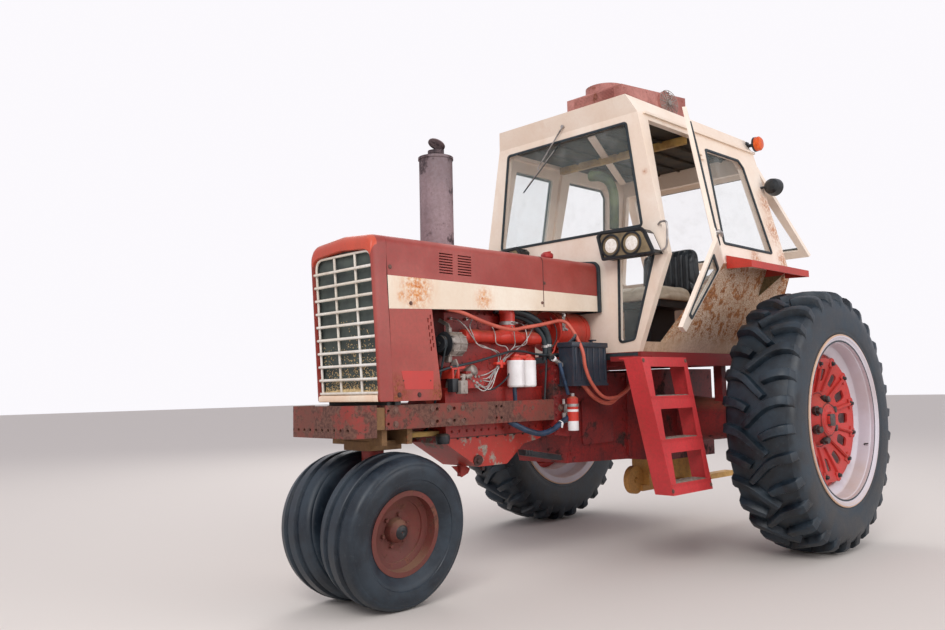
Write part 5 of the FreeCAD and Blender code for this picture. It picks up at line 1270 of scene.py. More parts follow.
def addInjectorLines():
    bm = bmesh.new()
    for line, end in zip(injectorLines, pumpEnds):
        points = [at(*p) for p in line + end]
        addTube(bm, smoothLine(points, 6), 0.0031, 8)
        for point, nxt in ((points[0], points[1]), (points[-1], points[-2])):
            along = (nxt - point).normalized()
            addTube(bm, [point, point + along * 0.018], 0.0075, 6)
    makePiece(bm, "injector_lines", finishes["steel"], "chassis", 40)
    bm = bmesh.new()
    addBox(bm, at(0.212, -1.975, 1.186), at(0.242, -1.905, 1.200), 0.002)
    addBox(bm, at(0.236, -1.946, 1.168), at(0.244, -1.926, 1.212), 0.002)
    makePiece(bm, "line_clamp", finishes["manifoldRed"], "chassis")


def addPumpDetails():
    bm = bmesh.new()
    # pump head, fittings and levers
    addTurned(bm, [(0, 0), (0, 0.030), (0.030, 0.034), (0.052, 0.030), (0.060, 0.018), (0.060, 0)],
              at(0.170, -2.135, 1.140), (0.5, 0.1, 0.2), 20)
    for k in range(6):
        turn = 2 * math.pi * k / 6
        addTube(bm, [at(0.205, -2.112 + 0.024 * math.cos(turn), 1.098 + 0.024 * math.sin(turn)),
                     at(0.226, -2.112 + 0.027 * math.cos(turn), 1.098 + 0.027 * math.sin(turn))], 0.0075, 6)
    addBox(bm, at(0.196, -2.248, 1.031), at(0.240, -2.197, 1.102), 0.004)
    addBolt(bm, at(0.240, -2.222, 1.085), (1, 0, 0), 0.006, 0.005)
    addBolt(bm, at(0.240, -2.222, 1.048), (1, 0, 0), 0.006, 0.005)
    addTube(bm, [at(0.222, -2.215, 1.102), at(0.224, -2.212, 1.135)], 0.012, 10)
    addTube(bm, [at(0.224, -2.235, 1.120), at(0.230, -2.190, 1.128), at(0.226, -2.160, 1.108)], 0.005, 8)
    addTube(bm, [at(0.220, -2.190, 1.120), at(0.240, -2.165, 1.130)], [0.013, 0.010], 12)
    makePiece(bm, "pump_fittings", finishes["castAluminium"], "chassis", 30)
    bm = bmesh.new()
    addBox(bm, at(0.176, -2.288, 1.040), at(0.218, -2.243, 1.112), 0.004)
    makePiece(bm, "solenoid_box", finishes["blackPart"], "chassis")
    bm = bmesh.new()
    addPlate(bm, [(-2.300, 1.176), (-2.190, 1.178), (-2.190, 1.166), (-2.232, 1.162), (-2.232, 1.112),
                  (-2.246, 1.112), (-2.246, 1.160), (-2.272, 1.158), (-2.272, 1.112), (-2.284, 1.112),
                  (-2.284, 1.160)],
             lambda a, b: at(0.110, a, b), (0.104, 0, 0))
    makePiece(bm, "pump_bracket", finishes["manifoldRed"], "chassis")


filterLook = {"x": 0.201, "places": (-1.779, -1.677), "radius": 0.0495, "low": 1.060, "high": 1.212}


def addFilters(look):
    r, low, high = look["radius"], look["low"], look["high"]
    bm = bmesh.new()
    for y in look["places"]:
        addTurned(bm, [(low, 0), (low, r * 0.80), (low + 0.004, r * 0.93), (low + 0.012, r),
                       (low + 0.016, r * 0.99), (high - 0.012, r * 0.99), (high - 0.006, r * 1.01),
                       (high, r * 0.98), (high, 0)],
                  at(look["x"], y, 0), (0, 0, 1), 48)
    cans = makePiece(bm, "filter_cans", finishes["filterWhite"], "chassis", 30)
    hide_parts("fuel_filters")
    bm = bmesh.new()
    for y in look["places"]:
        addTurned(bm, [(high, 0), (high, r * 0.86), (high + 0.012, r * 0.84), (high + 0.024, r * 0.5),
                       (high + 0.034, r * 0.46), (high + 0.034, 0)], at(look["x"], y, 0), (0, 0, 1), 32)
        addBolt(bm, at(look["x"], y, high + 0.034), (0, 0, 1), 0.010, 0.012)
    y0, y1 = look["places"]
    addBox(bm, at(look["x"] - 0.034, y0 - 0.016, high + 0.006),
           at(look["x"] + 0.022, y1 + 0.016, high + 0.030), 0.006)
    addBox(bm, at(0.106, -1.762, 1.190), at(look["x"] - 0.03, -1.698, 1.238), 0.006)
    makePiece(bm, "filter_head", finishes["manifoldRed"], "chassis", 30)


engineHoses = [
    # name, finish, radius, points x, y, z
    ("coolant_hose_long", "salmonHose", 0.0105,
     [(0.232, -2.330, 1.475), (0.240, -2.229, 1.460), (0.250, -2.110, 1.424), (0.252, -1.975, 1.394),
      (0.250, -1.849, 1.382), (0.252, -1.741, 1.398), (0.252, -1.627, 1.415), (0.252, -1.510, 1.436),
      (0.256, -1.434, 1.448), (0.270, -1.382, 1.428), (0.318, -1.372, 1.358), (0.374, -1.382, 1.262),
      (0.374, -1.360, 1.166), (0.374, -1.301, 1.070), (0.350, -1.158, 0.990), (0.310, -0.969, 0.987),
      (0.280, -0.830, 1.020), (0.250, -0.750, 1.055), (0.236, -0.680, 1.090)]),
    ("coolant_hose_short", "salmonHose", 0.0135,
     [(0.278, -1.398, 1.146), (0.282, -1.359, 1.122), (0.288, -1.272, 1.062), (0.288, -1.184, 0.996),
      (0.280, -1.078, 0.957), (0.268, -0.981, 0.952), (0.254, -0.880, 0.985), (0.246, -0.780, 1.022),
      (0.232, -0.690, 1.070)]),
    ("braided_sleeve", "steel", 0.0135,
     [(0.255, -1.503, 1.220), (0.266, -1.450, 1.186), (0.278, -1.395, 1.144)]),
    ("heater_hose_outer", "darkHose", 0.0205,
     [(0.128, -1.870, 1.500), (0.165, -1.790, 1.502), (0.190, -1.697, 1.486), (0.200, -1.600, 1.452),
      (0.205, -1.520, 1.396), (0.205, -1.490, 1.335), (0.203, -1.487, 1.286)]),
    ("heater_hose_inner", "darkHose", 0.0165,
     [(0.120, -1.800, 1.478), (0.160, -1.700, 1.468), (0.180, -1.610, 1.432), (0.192, -1.545, 1.372),
      (0.196, -1.518, 1.320), (0.196, -1.510, 1.268), (0.190, -1.512, 1.215)]),
    ("elbow_hose", "blackPart", 0.0205,
     [(0.203, -1.487, 1.286), (0.206, -1.486, 1.250), (0.225, -1.492, 1.232), (0.250, -1.508, 1.224)]),
    ("blue_hose_drop", "blueHose", 0.011,
     [(0.280, -1.482, 1.196), (0.292, -1.476, 1.137), (0.298, -1.455, 1.070), (0.300, -1.436, 1.012)]),
    ("loop_hose", "blueHose", 0.0165,
     [(0.205, -1.850, 0.872), (0.228, -1.800, 0.842), (0.250, -1.734, 0.812), (0.262, -1.642, 0.794),
      (0.268, -1.547, 0.812), (0.272, -1.472, 0.850), (0.276, -1.410, 0.878), (0.262, -1.372, 0.884)]),
    ("fuel_line_upper", "darkHose", 0.0068,
     [(0.190, -2.360, 1.150), (0.206, -2.300, 1.168), (0.214, -2.200, 1.186), (0.216, -2.118, 1.200),
      (0.226, -1.993, 1.229), (0.232, -1.900, 1.250), (0.226, -1.829, 1.262), (0.216, -1.717, 1.262),
      (0.210, -1.640, 1.252), (0.214, -1.528, 1.246), (0.236, -1.440, 1.250), (0.244, -1.354, 1.256)]),
    ("filter_line", "steel", 0.0055,
     [(0.196, -1.825, 1.236), (0.205, -1.862, 1.224), (0.215, -1.900, 1.196), (0.220, -1.960, 1.150),
      (0.218, -2.020, 1.110)]),
    ("return_line", "darkHose", 0.0045,
     [(0.222, -2.060, 1.048), (0.222, -1.990, 1.052), (0.216, -1.920, 1.080), (0.206, -1.862, 1.112),
      (0.190, -1.820, 1.140)]),
    ("sender_wire", "blackPart", 0.0035,
     [(0.210, -1.470, 1.470), (0.226, -1.440, 1.400), (0.230, -1.452, 1.330), (0.216, -1.500, 1.262)]),
    ("red_brake_line", "manifoldRed", 0.0055,
     [(0.214, -1.500, 1.246), (0.224, -1.470, 1.262), (0.224, -1.448, 1.300), (0.214, -1.410, 1.330)]),
    ("drain_pipe", "blueHose", 0.012,
     [(0.206, -1.798, 1.062), (0.207, -1.797, 1.020), (0.207, -1.795, 0.975)]),
]


def addHoses():
    for name, finish, radius, points in engineHoses:
        bm = bmesh.new()
        addTube(bm, smoothLine([at(*p) for p in points], 8), radius, 16)
        makePiece(bm, name, finishes[finish], "chassis", 60)
    bm = bmesh.new()
    # zip tie and the hose's clips
    addTurned(bm, [(-0.003, 0.0168), (-0.003, 0.0185), (0.003, 0.0185), (0.003, 0.0168)],
              at(0.272, -1.480, 0.845), (0, 0.85, 0.5), 20)
    addBox(bm, at(0.284, -1.492, 0.820), at(0.290, -1.482, 0.848), 0.001)
    for y, z in ((-1.505, 1.222), (-1.402, 1.150)):
        addTurned(bm, [(-0.006, 0.0137), (-0.006, 0.0165), (0.006, 0.0165), (0.006, 0.0137)],
                  at(0.255 + (y + 1.503) * 0.21, y, z), (0.12, 0.8, -0.55), 20)
    makePiece(bm, "hose_ties", finishes["filterWhite"], "chassis", 30)


canLook = {"centre": (0.300, -1.398), "radius": 0.033, "low": 0.800, "high": 1.000}


def addStartingCan(look):
    x, y = look["centre"]
    r, low, high = look["radius"], look["low"], look["high"]
    base = at(x, y, 0)
    up = (0, 0, 1)
    bm = bmesh.new()
    addTurned(bm, [(low + 0.056, 0), (low + 0.056, r), (low + 0.110, r), (low + 0.110, 0)], base, up, 36)
    addTurned(bm, [(low + 0.124, 0), (low + 0.124, r), (high - 0.012, r), (high, r * 0.55), (high, 0)], base,
              up, 36)
    can = makePiece(bm, "can_body", finishes["manifoldRed"], "chassis", 30)
    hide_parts("starting_fluid_can")
    bm = bmesh.new()
    addTurned(bm, [(low, 0), (low, r * 0.9), (low + 0.004, r * 0.97), (low + 0.056, r * 0.97),
                   (low + 0.056, 0)],
              base, up, 36)
    addTurned(bm, [(low + 0.109, 0), (low + 0.109, r * 0.992), (low + 0.125, r * 0.992), (low + 0.125, 0)],
              base, up, 36)
    makePiece(bm, "can_bands", finishes["filterWhite"], "chassis", 30)
    bm = bmesh.new()
    addTube(bm, [base + Vector((0, 0, high)), base + Vector((0, 0, high + 0.018))], 0.013, 16)
    # strap with its screw, and the valve beside it
    addTurned(bm, [(low + 0.140, r), (low + 0.140, r + 0.0025), (low + 0.156, r + 0.0025), (low + 0.156, r)],
              base, up, 36)
    addBox(bm, at(0.246, y - 0.020, 0.846), at(0.270, y + 0.016, 0.955), 0.003)
    addTube(bm, [at(0.262, y - 0.036, 0.868), at(0.262, y - 0.036, 0.905)], 0.013, 12)
    addTube(bm, [at(0.262, y - 0.036, 0.955), at(0.262, y - 0.036, 0.985)], 0.009, 8)
    makePiece(bm, "can_fittings", finishes["steel"], "chassis", 30)


def addAirCleanerBands():
    bm = bmesh.new()
    for y in (-1.340, -1.255, -1.105):
        addTurned(bm, [(y + axleY - 0.010, 0.1215), (y + axleY - 0.010, 0.1245), (y + axleY + 0.010, 0.1245),
                       (y + axleY + 0.010, 0.1215)], Vector((0.080, 0, 1.395)), (0, 1, 0), 48)
    makePiece(bm, "air_cleaner_bands", finishes["manifoldRed"], "chassis", 30)
    bm = bmesh.new()
    # spring clip on the drum's side
    for z0, z1 in ((1.500, 1.478), (1.430, 1.405)):
        addTube(bm, [at(0.182, -1.350, z0), at(0.206, -1.345, z0 - 0.006), at(0.206, -1.335, z1),
                     at(0.186, -1.330, z1)],
                0.0045, 8)
    addBox(bm, at(0.200, -1.352, 1.395), at(0.206, -1.326, 1.505), 0.001)
    addTube(bm, [at(0.206, -1.345, 1.490), at(0.222, -1.350, 1.488)], 0.008, 10)
    addTube(bm, [at(0.204, -1.336, 1.412), at(0.218, -1.320, 1.398)], 0.007, 10)
    makePiece(bm, "drum_clip", finishes["steel"], "chassis")
    bm = bmesh.new()
    # upright strut and shelf plate behind the filters
    addTube(bm, [at(0.205, -1.512, 1.215), at(0.212, -1.530, 1.128), at(0.212, -1.548, 0.985)], 0.006, 8)
    addBox(bm, at(0.150, -1.520, 1.235), at(0.232, -1.360, 1.247), 0.002)
    makePiece(bm, "bay_strut", finishes["blackPart"], "chassis")


def addBatteryBoxDetails():
    bm = bmesh.new()
    for k in range(6):
        y = -1.425 + k * 0.056
        addBox(bm, at(0.3495, y, 1.090), at(0.3555, y + 0.014, 1.285), 0.0025)
    addBox(bm, at(0.243, -1.459, 1.288), at(0.359, -1.111, 1.318), 0.004)
    for y in (-1.37, -1.20):
        addTube(bm, [at(0.300, y, 1.312), at(0.300, y, 1.334)], 0.010, 12)
        addBox(bm, at(0.288, y - 0.014, 1.330), at(0.330, y + 0.014, 1.338), 0.002)
    addTube(bm, [at(0.31, -1.37, 1.330), at(0.33, -1.39, 1.360), at(0.33, -1.41, 1.340),
                 at(0.30, -1.44, 1.300)], 0.008, 10)
    makePiece(bm, "battery_box_ribs", finishes["boxBlack"], "chassis")


def addPanDetails():
    bm = bmesh.new()
    addStrip(bm, [at(0.140, -2.288, 0.796), at(0.140, -1.498, 0.796)], (0, 0, 0.010), 0.008,
             at(0, -1.9, 0.80))
    addStrip(bm, [at(-0.140, -2.288, 0.796), at(-0.140, -1.498, 0.796)], (0, 0, 0.010), 0.008,
             at(0, -1.9, 0.80))
    for side in (1, -1):
        for k in range(11):
            addBolt(bm, at(side * 0.144, -2.260 + k * 0.074, 0.796), (0, 0, -1), 0.0065, 0.008)
    addTurned(bm, [(0, 0), (0, 0.030), (0.006, 0.033), (0.014, 0.030), (0.014, 0)], at(0.139, -2.040, 0.668),
              (1, -0.2, -0.2), 8)
    addBolt(bm, at(0.152, -2.042, 0.666), (1, -0.2, -0.2), 0.014, 0.012)
    addTube(bm, [at(0.10, -1.965, 0.632), at(0.10, -1.965, 0.606)], 0.014, 8)
    makePiece(bm, "pan_bolts", finishes["darkBolt"], "chassis")
    bm = bmesh.new()
    addPlate(bm, [(-1.722, 0.706), (-1.392, 0.654), (-1.392, 0.622), (-1.712, 0.672)], lambda a,
             b: at(0.150, a, b), (0.050, 0, 0), 0.006)
    for k in range(3):
        addBox(bm, at(0.196, -1.716 + k * 0.024, 0.676 - k * 0.003),
               at(0.206, -1.702 + k * 0.024, 0.705 - k * 0.003), 0.003)
    makePiece(bm, "link_bar", finishes["blackPart"], "chassis")


addAlternator(alternatorLook)
addManifold(manifoldLook)
addEngineTop()
addInjectorLines()
addPumpDetails()
addFilters(filterLook)
addHoses()
addStartingCan(canLook)
addAirCleanerBands()
addBatteryBoxDetails()
addPanDetails()
print("engine bay dressed")


# cab trim

cabShape = {
    "front": -1.030, "kinkZ": 1.830, "kinkHalf": 0.757, "upperLean": 0.194, "lowerLean": 0.405,
    "topZ": 2.733, "rearTop": 0.465, "rearSlope": 0.13, "rearLeaf": 0.040,
}
openings = {    # outlines of the glass: corner points with their radius
    "windshield": [(-0.593, 2.014, 0.030), (0.593, 2.014, 0.030), (0.503, 2.688, 0.030),
                   (-0.503, 2.688, 0.030)],
    "lowPane": [(0.384, 1.312, 0.035), (0.505, 1.330, 0.035), (0.672, 1.850, 0.020), (0.400, 1.850, 0.020)],
    "quarter": [(-0.318, 1.962, 0.025), (0.372, 1.960, 0.025), (0.241, 2.591, 0.030), (0.185, 2.641, 0.030),
                (-0.272, 2.637, 0.020)],
    "doorUpper": [(-0.892, 1.925, 0.020), (-0.446, 1.925, 0.020), (-0.446, 2.620, 0.020),
                  (-0.858, 2.620, 0.020)],
    "doorLower": [(-0.925, 1.765, 0.020), (-0.500, 1.765, 0.020), (-0.770, 1.405, 0.020),
                  (-0.925, 1.405, 0.020)],
}
leftDoorOpen = 26.0      # degrees, as it stands
rearWindowOpen = 30.0


def sideX(z):
    lean = cabShape["upperLean"] if z >= cabShape["kinkZ"] else cabShape["lowerLean"]
    return cabShape["kinkHalf"] - abs(z - cabShape["kinkZ"]) * lean


def rearY(z):
    return cabShape["rearTop"] + (cabShape["topZ"] - z) * cabShape["rearSlope"]


def onCabSide(side, lift=0.0):
    # turns y and z into a point on the outer face of one cab side
    return lambda a, b: at(side * (sideX(b) + lift), a, b)


def onCabFront(lift=0.0):
    return lambda a, b: at(a, cabShape["front"] - lift, b)


def addGaskets():
    bm = bmesh.new()
    front = Vector((0, -1, 0))
    addSeal(bm, roundLoop(openings["windshield"], 6), onCabFront(), front, 0.017, 0.008, inward=0.007)
    for side in (1, -1):
        low = [(x * side, z, r) for x, z, r in openings["lowPane"]]
        addSeal(bm, roundLoop(low, 6), onCabFront(), front, 0.016, 0.008, inward=0.006)
        out = Vector((side, 0, 0.19)).normalized()
        addSeal(bm, roundLoop(openings["quarter"], 6), onCabSide(side), out, 0.018, 0.008, inward=0.007)
    makePiece(bm, "window_gaskets", finishes["seal"], "chassis", 40)
    for side, word in ((1, "left"), (-1, "right")):
        bm = bmesh.new()
        for name, lean in (("doorUpper", 0.19), ("doorLower", -0.40)):
            out = Vector((side, 0, lean)).normalized()
            addSeal(bm, roundLoop(openings[name], 6), onCabSide(side), out, 0.018, 0.008, inward=0.007)
        makePiece(bm, "door_gaskets_" + word, finishes["seal"], "door_" + word, 40,
                  turn=doorTurn(side))


def doorTurn(side):
    # the left door stands open at rest
    if side < 0:
        return None
    return jointTurn("door_left_hinge", leftDoorOpen)


def addRearWindowGasket():
    low, high = 1.845, 2.635
    rim = 0.062
    lowHalf, highHalf = sideX(low) - 0.020 - rim, sideX(high) - 0.020 - rim
    opening = [(-lowHalf, low + rim, 0.015), (lowHalf, low + rim, 0.015), (highHalf, high - rim, 0.015),
               (-highHalf, high - rim, 0.015)]
    bm = bmesh.new()
    addSeal(bm, roundLoop(opening, 5), lambda a, b: at(a, rearY(b) + cabShape["rearLeaf"], b),
            Vector((0, 1, 0.13)).normalized(), 0.014, 0.006, inward=0.006)
    # latch handle at the foot of the frame
    addTube(bm, [at(-0.06, rearY(1.875) + 0.045, 1.875), at(-0.05, rearY(1.875) + 0.075, 1.875),
                 at(0.05, rearY(1.875) + 0.075, 1.875), at(0.06, rearY(1.875) + 0.045, 1.875)], 0.008, 10)
    makePiece(bm, "rear_window_gasket", finishes["seal"], "rear_window", 40,
              turn=jointTurn("rear_window_hinge", rearWindowOpen))


headlampLook = {
    "front": -1.130, "lamps": ((0.422, 1.908), (0.572, 1.905)),
    "shell": [(0.326, 1.975, 0.004), (0.352, 1.999, 0.006), (0.642, 1.983, 0.006), (0.664, 1.964, 0.006),
              (0.724, 1.828, 0.006), (0.360, 1.832, 0.006)],
}


def addHeadlamps(look):
    front = look["front"]
    for side, word in ((1, "left"), (-1, "right")):
        bm = bmesh.new()
        rim = roundLoop([(x * side, z, r) for x, z, r in look["shell"]], 4)
        addSeal(bm, rim, lambda a, b: at(a, front + 0.002, b), Vector((0, -1, 0)), 0.020, 0.010)
        for x, z in look["lamps"]:
            addTurned(bm, [(-0.010, 0.060), (-0.010, 0.068), (-0.006, 0.072), (0.003, 0.070), (0.003, 0.060)],
                      at(x * side, front, z), (0, 1, 0), 40)
        makePiece(bm, "headlamp_rims_" + word, finishes["lampRim"], "chassis", 40)
        bm = bmesh.new()
        for x, z in look["lamps"]:
            # domed sealed beam
            rings = [(0.019 - 0.012 * math.cos(t), 0.060 * math.sin(t)) for t in
                     [math.pi / 2 * k / 8 for k in range(9)]]
            addTurned(bm, rings + [(0.024, 0.060), (0.024, 0)], at(x * side, front - 0.012, z), (0, 1, 0), 40)
        makePiece(bm, "headlamp_lenses_" + word, finishes["lampLens"], "chassis", 40)
        bm = bmesh.new()
        # pale face between the rims, and the bright plate on the housing's outer side
        inner = roundLoop([(0.345 * side, 1.964, 0.004), (0.360 * side, 1.985, 0.006),
                           (0.636 * side, 1.969, 0.006), (0.652 * side, 1.955, 0.006),
                           (0.706 * side, 1.838, 0.006), (0.370 * side, 1.843, 0.006)], 3)
        addPlate(bm, inner, lambda a, b: at(a, front - 0.0012, b), (0, 0.0010, 0))
        makePiece(bm, "headlamp_face_" + word, finishes["lampInside"], "chassis")
        bm = bmesh.new()
        low, high = 1.850, 1.955
        xLow, xHigh = 0.716, 0.6695
        corners = [(front + 0.020, low), (front + 0.085, low), (front + 0.085, high), (front + 0.020, high)]
        addPlate(bm, corners,
                 lambda a, b: at(side * (xLow + (xHigh - xLow) * (b - low) / (high - low) + 0.001), a, b),
                 (side * 0.0015, 0, 0))
        makePiece(bm, "headlamp_plate_" + word, finishes["filterWhite"], "chassis")


wiperLook = {"pivot": (0.013, 2.768), "armEnd": (-0.214, 2.532), "bladeHigh": (-0.019, 2.668),
             "bladeLow": (-0.357, 2.394)}


def addWiper(look):
    # a thin arm down to the middle of the blade
    face = cabShape["front"]
    pivot, armEnd, high, low = [at(x, face - 0.022, z) for x, z in
                                (look["pivot"], look["armEnd"], look["bladeHigh"], look["bladeLow"])]
    bm = bmesh.new()
    addTube(bm, [at(look["pivot"][0], face + 0.002, look["pivot"][1]), pivot + Vector((0, -0.008, 0))], 0.011,
            16)
    addTube(bm, [pivot, pivot.lerp(armEnd, 0.4), armEnd], [0.006, 0.0045, 0.0035], 8)
    addTube(bm, [high.lerp(low, 0.15) + Vector((0, 0.006, 0)), low.lerp(high, 0.12) + Vector((0, 0.006, 0))],
            0.0035, 8)
    addTube(bm, [armEnd + Vector((0, -0.003, 0)), high.lerp(low, 0.55) + Vector((0, 0.006, 0))], 0.004, 8)
    makePiece(bm, "wiper_arm", finishes["steel"], "chassis")
    bm = bmesh.new()
    addTube(bm, [high + Vector((0, 0.012, 0)), low + Vector((0, 0.012, 0))], 0.0045, 6)
    makePiece(bm, "wiper_blade", finishes["seal"], "chassis")


def addCabSideTrim():
    bm = bmesh.new()
    # seam sealer along the kink and along the drip rail
    for side in (1, -1):
        addStrip(bm, [at(side * sideX(1.832), -0.362, 1.832),
                      at(side * sideX(1.832), rearY(1.83) - 0.004, 1.832)],
                 (0, 0, 0.006), 0.003, at(0, -0.2, 1.83))
        addStrip(bm, [at(side * (sideX(2.733) + 0.013), -0.966, 2.733),
                      at(side * (sideX(2.733) + 0.013), 0.462, 2.733)],
                 (0, 0, 0.014), 0.003, at(0, -0.2, 2.733))
    makePiece(bm, "cab_seams", finishes["cabCream"], "chassis")
    # grab handle beside the left lamps, and its twin on the other side
    bm = bmesh.new()
    for side in (1, -1):
        line = [at(side * 0.700, -1.032, 2.010), at(side * 0.744, -1.066, 2.016),
                at(side * 0.786, -1.076, 1.996), at(side * 0.780, -1.076, 1.872),
                at(side * 0.748, -1.066, 1.846), at(side * 0.728, -1.032, 1.848)]
        addTube(bm, smoothLine(line, 5), 0.0065, 12)
    makePiece(bm, "grab_handles", finishes["steel"], "chassis")
    bm = bmesh.new()
    # the black rubber at the cab's foot
    addBox(bm, at(-0.520, -1.034, 1.216), at(0.520, -1.020, 1.256), 0.003)
    makePiece(bm, "cab_foot_rubber", finishes["seal"], "chassis")


def addDoorHandles():
    for side, word in ((1, "left"), (-1, "right")):
        out = Vector((side, 0, 0.19)).normalized()
        bm = bmesh.new()
        z = 1.885
        base = at(side * sideX(z), -0.940, z)
        addTube(bm, [base, base + out * 0.026], 0.014, 16)
        addTube(bm, [base + out * 0.022 + Vector((0, -0.014, 0)), base + out * 0.030 + Vector((0, 0.03, 0)),
                     base + out * 0.028 + Vector((0, 0.095, -0.004))], [0.009, 0.010, 0.007], 12)
        addPlate(bm, [(-0.968, 1.862), (-0.912, 1.862), (-0.912, 1.908), (-0.968, 1.908)], onCabSide(side),
                 out * 0.004, 0.001)
        makePiece(bm, "door_handle_" + word, finishes["steel"], "door_" + word, 30,
                  turn=doorTurn(side))


def addRoofUnitDetails():
    bm = bmesh.new()
    guard = at(0.4525, -0.455, 2.950)
    wide = 1.3              # the guard is longer along the tractor than it is high
    for radius in (0.084, 0.070, 0.056, 0.042, 0.028, 0.014):
        addTube(bm, [guard + Vector((0.004, wide * radius * math.cos(t), radius * math.sin(t))) for t in
                     [2 * math.pi * k / 36 for k in range(36)]], 0.0022, 6, closed=True)
    for k in range(6):
        turn = math.pi * k / 6
        out = Vector((0.004, wide * math.cos(turn) * 0.086, math.sin(turn) * 0.086))
        addTube(bm, [guard + out, guard + Vector((0.004, -out.y, -out.z))], 0.0024, 6)
    addTube(bm, [guard, guard + Vector((0.012, 0, 0))], 0.018, 20)
    makePiece(bm, "fan_guard", finishes["castAluminium"], "chassis")
    bm = bmesh.new()
    # seams, side screws and the lid's edge
    addStrip(bm, [at(0.440, -0.975, 2.905), at(0.440, -0.600, 2.905)], (0, 0, 0.004), 0.002,
             at(0, -0.5, 2.905))
    for y, z in ((-0.950, 2.895), (-0.950, 2.945), (-0.260, 2.895), (-0.260, 3.010), (-0.640, 2.890),
                 (-0.70, 2.975)):
        addBolt(bm, at(0.440, y, z), (1, 0, 0), 0.006, 0.004)
    for k in range(7):
        z = 2.892 + k * 0.009
        addBox(bm, at(0.06, -0.984, z), at(0.38, -0.978, z + 0.0035), 0.0008)
    makePiece(bm, "roof_unit_details", finishes["unitRust"], "chassis")


def addCabLampBodies():
    # amber flasher and the work lamp on the left rear corner
    bm = bmesh.new()
    profile = [(0.0, 0.0), (0.0, 0.038), (0.010, 0.052), (0.036, 0.052), (0.048, 0.040), (0.052, 0.0)]
    addTurned(bm, profile, at(0.612, 0.440, 2.800), (1, 0, 0), 32)
    lamp = makePiece(bm, "amber_lens", finishes["amberLens"], "chassis", 30)
    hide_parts("cab_lamps")
    bm = bmesh.new()
    addTurned(bm, [(-0.004, 0), (-0.004, 0.054), (0.010, 0.054), (0.010, 0)], at(0.612, 0.440, 2.800),
              (1, 0, 0), 32)
    addTube(bm, [at(0.548, 0.440, 2.800), at(0.610, 0.440, 2.800)], 0.013, 12)
    addBox(bm, at(0.545, 0.420, 2.770), at(0.556, 0.460, 2.830), 0.002)
    addTube(bm, [at(0.618, 0.445, 2.470), at(0.706, 0.468, 2.478)], 0.009, 10)
    addTurned(bm, [(0.0, 0.0), (0.006, 0.034), (0.024, 0.055), (0.060, 0.062), (0.088, 0.064), (0.088, 0.057),
                   (0.070, 0.055), (0.070, 0.0)], at(0.706, 0.440, 2.475), (0, 1, 0), 36)
    makePiece(bm, "work_lamp", finishes["lampRim"], "chassis", 30)
    bm = bmesh.new()
    rings = [(0.070 + 0.010 * math.cos(t),
              0.056 * math.sin(t)) for t in [math.pi / 2 * k / 6 for k in range(7)]]
    addTurned(bm, rings + [(0.066, 0.056), (0.066, 0)], at(0.706, 0.440, 2.475), (0, 1, 0), 36)
    makePiece(bm, "work_lamp_lens", finishes["lampLens"], "chassis", 30)


# inside the cab

def addHeadliner():
    bm = bmesh.new()
    half = sideX(2.70) - 0.052
    outline = [(-half, -0.975), (half, -0.975), (half, 0.400), (-half, 0.400)]
    addPlate(bm, outline, lambda a, b: at(a, b, 2.722), (0, 0, 0.012))
    for k in range(5):
        x = -0.36 + k * 0.18
        addTube(bm, smoothLine([at(x, -0.96, 2.716), at(x, -0.3, 2.708), at(x, 0.39, 2.716)], 6), 0.010, 8)
    makePiece(bm, "headliner_panel", finishes["headliner"], "chassis")
    bm = bmesh.new()
    addBox(bm, at(-half, -0.420, 2.660), at(half, -0.380, 2.712), 0.005)
    makePiece(bm, "roof_cross_bar", finishes["yellowBar"], "chassis")
    bm = bmesh.new()
    addPlate(bm, [(-half, 0.36), (-half + 0.06, 0.36), (half * 0.3, -0.90), (half * 0.3 - 0.06, -0.90)],
             lambda a, b: at(a, b, 2.698), (0, 0, 0.008))
    makePiece(bm, "roof_diagonal", finishes["cabCream"], "chassis")


def addDuct():
    # air duct: a short mouth and a curved hose down behind the windshield
    bm = bmesh.new()
    run = [at(0.120, -0.900, 2.440), at(0.200, -0.905, 2.420), at(0.268, -0.910, 2.370),
           at(0.300, -0.912, 2.290), at(0.302, -0.912, 2.190), at(0.294, -0.910, 2.060)]
    addTube(bm, smoothLine(run, 6), [0.036 - 0.006 * min(1, k / 12) for k in range(31)], 20)
    makePiece(bm, "air_duct", finishes["oliveDuct"], "chassis")


def evaluatedMesh(thing):
    return bpy.data.meshes.new_from_object(thing.evaluated_get(bpy.context.evaluated_depsgraph_get()))


def swollen(bm, look, held):
    # upholstery pressed out from inside: the points that held picks stay where they are
    mesh = bpy.data.meshes.new("swelling")
    bmesh.ops.recalc_face_normals(bm, faces=bm.faces)
    bm.to_mesh(mesh)
    bm.free()
    body = bpy.data.objects.new("swelling", mesh)
    scene = bpy.context.scene
    scene.collection.objects.link(body)
    even = body.modifiers.new("even", "REMESH")
    even.mode = "VOXEL"
    even.voxel_size = look["voxel"]
    still = evaluatedMesh(body)
    body.modifiers.clear()
    body.data = still
    group = body.vertex_groups.new(name="held")
    group.add([v.index for v in still.vertices if held(v.co)], 1.0, "REPLACE")
    cloth = body.modifiers.new("cloth", "CLOTH")
    cloth.settings.use_pressure = True
    cloth.settings.uniform_pressure_force = look["pressure"]
    cloth.settings.vertex_group_mass = "held"
    cloth.settings.effector_weights.gravity = 0
    for number in range(1, 21):
        scene.frame_set(number)
    puffed = evaluatedMesh(body)
    scene.frame_set(1)
    for before, after in zip(still.vertices, puffed.vertices):
        move = after.co - before.co
        if move.length > look["cap"]:
            move = move.normalized() * look["cap"]
        before.co = before.co + move
    bpy.data.objects.remove(body)
    return still


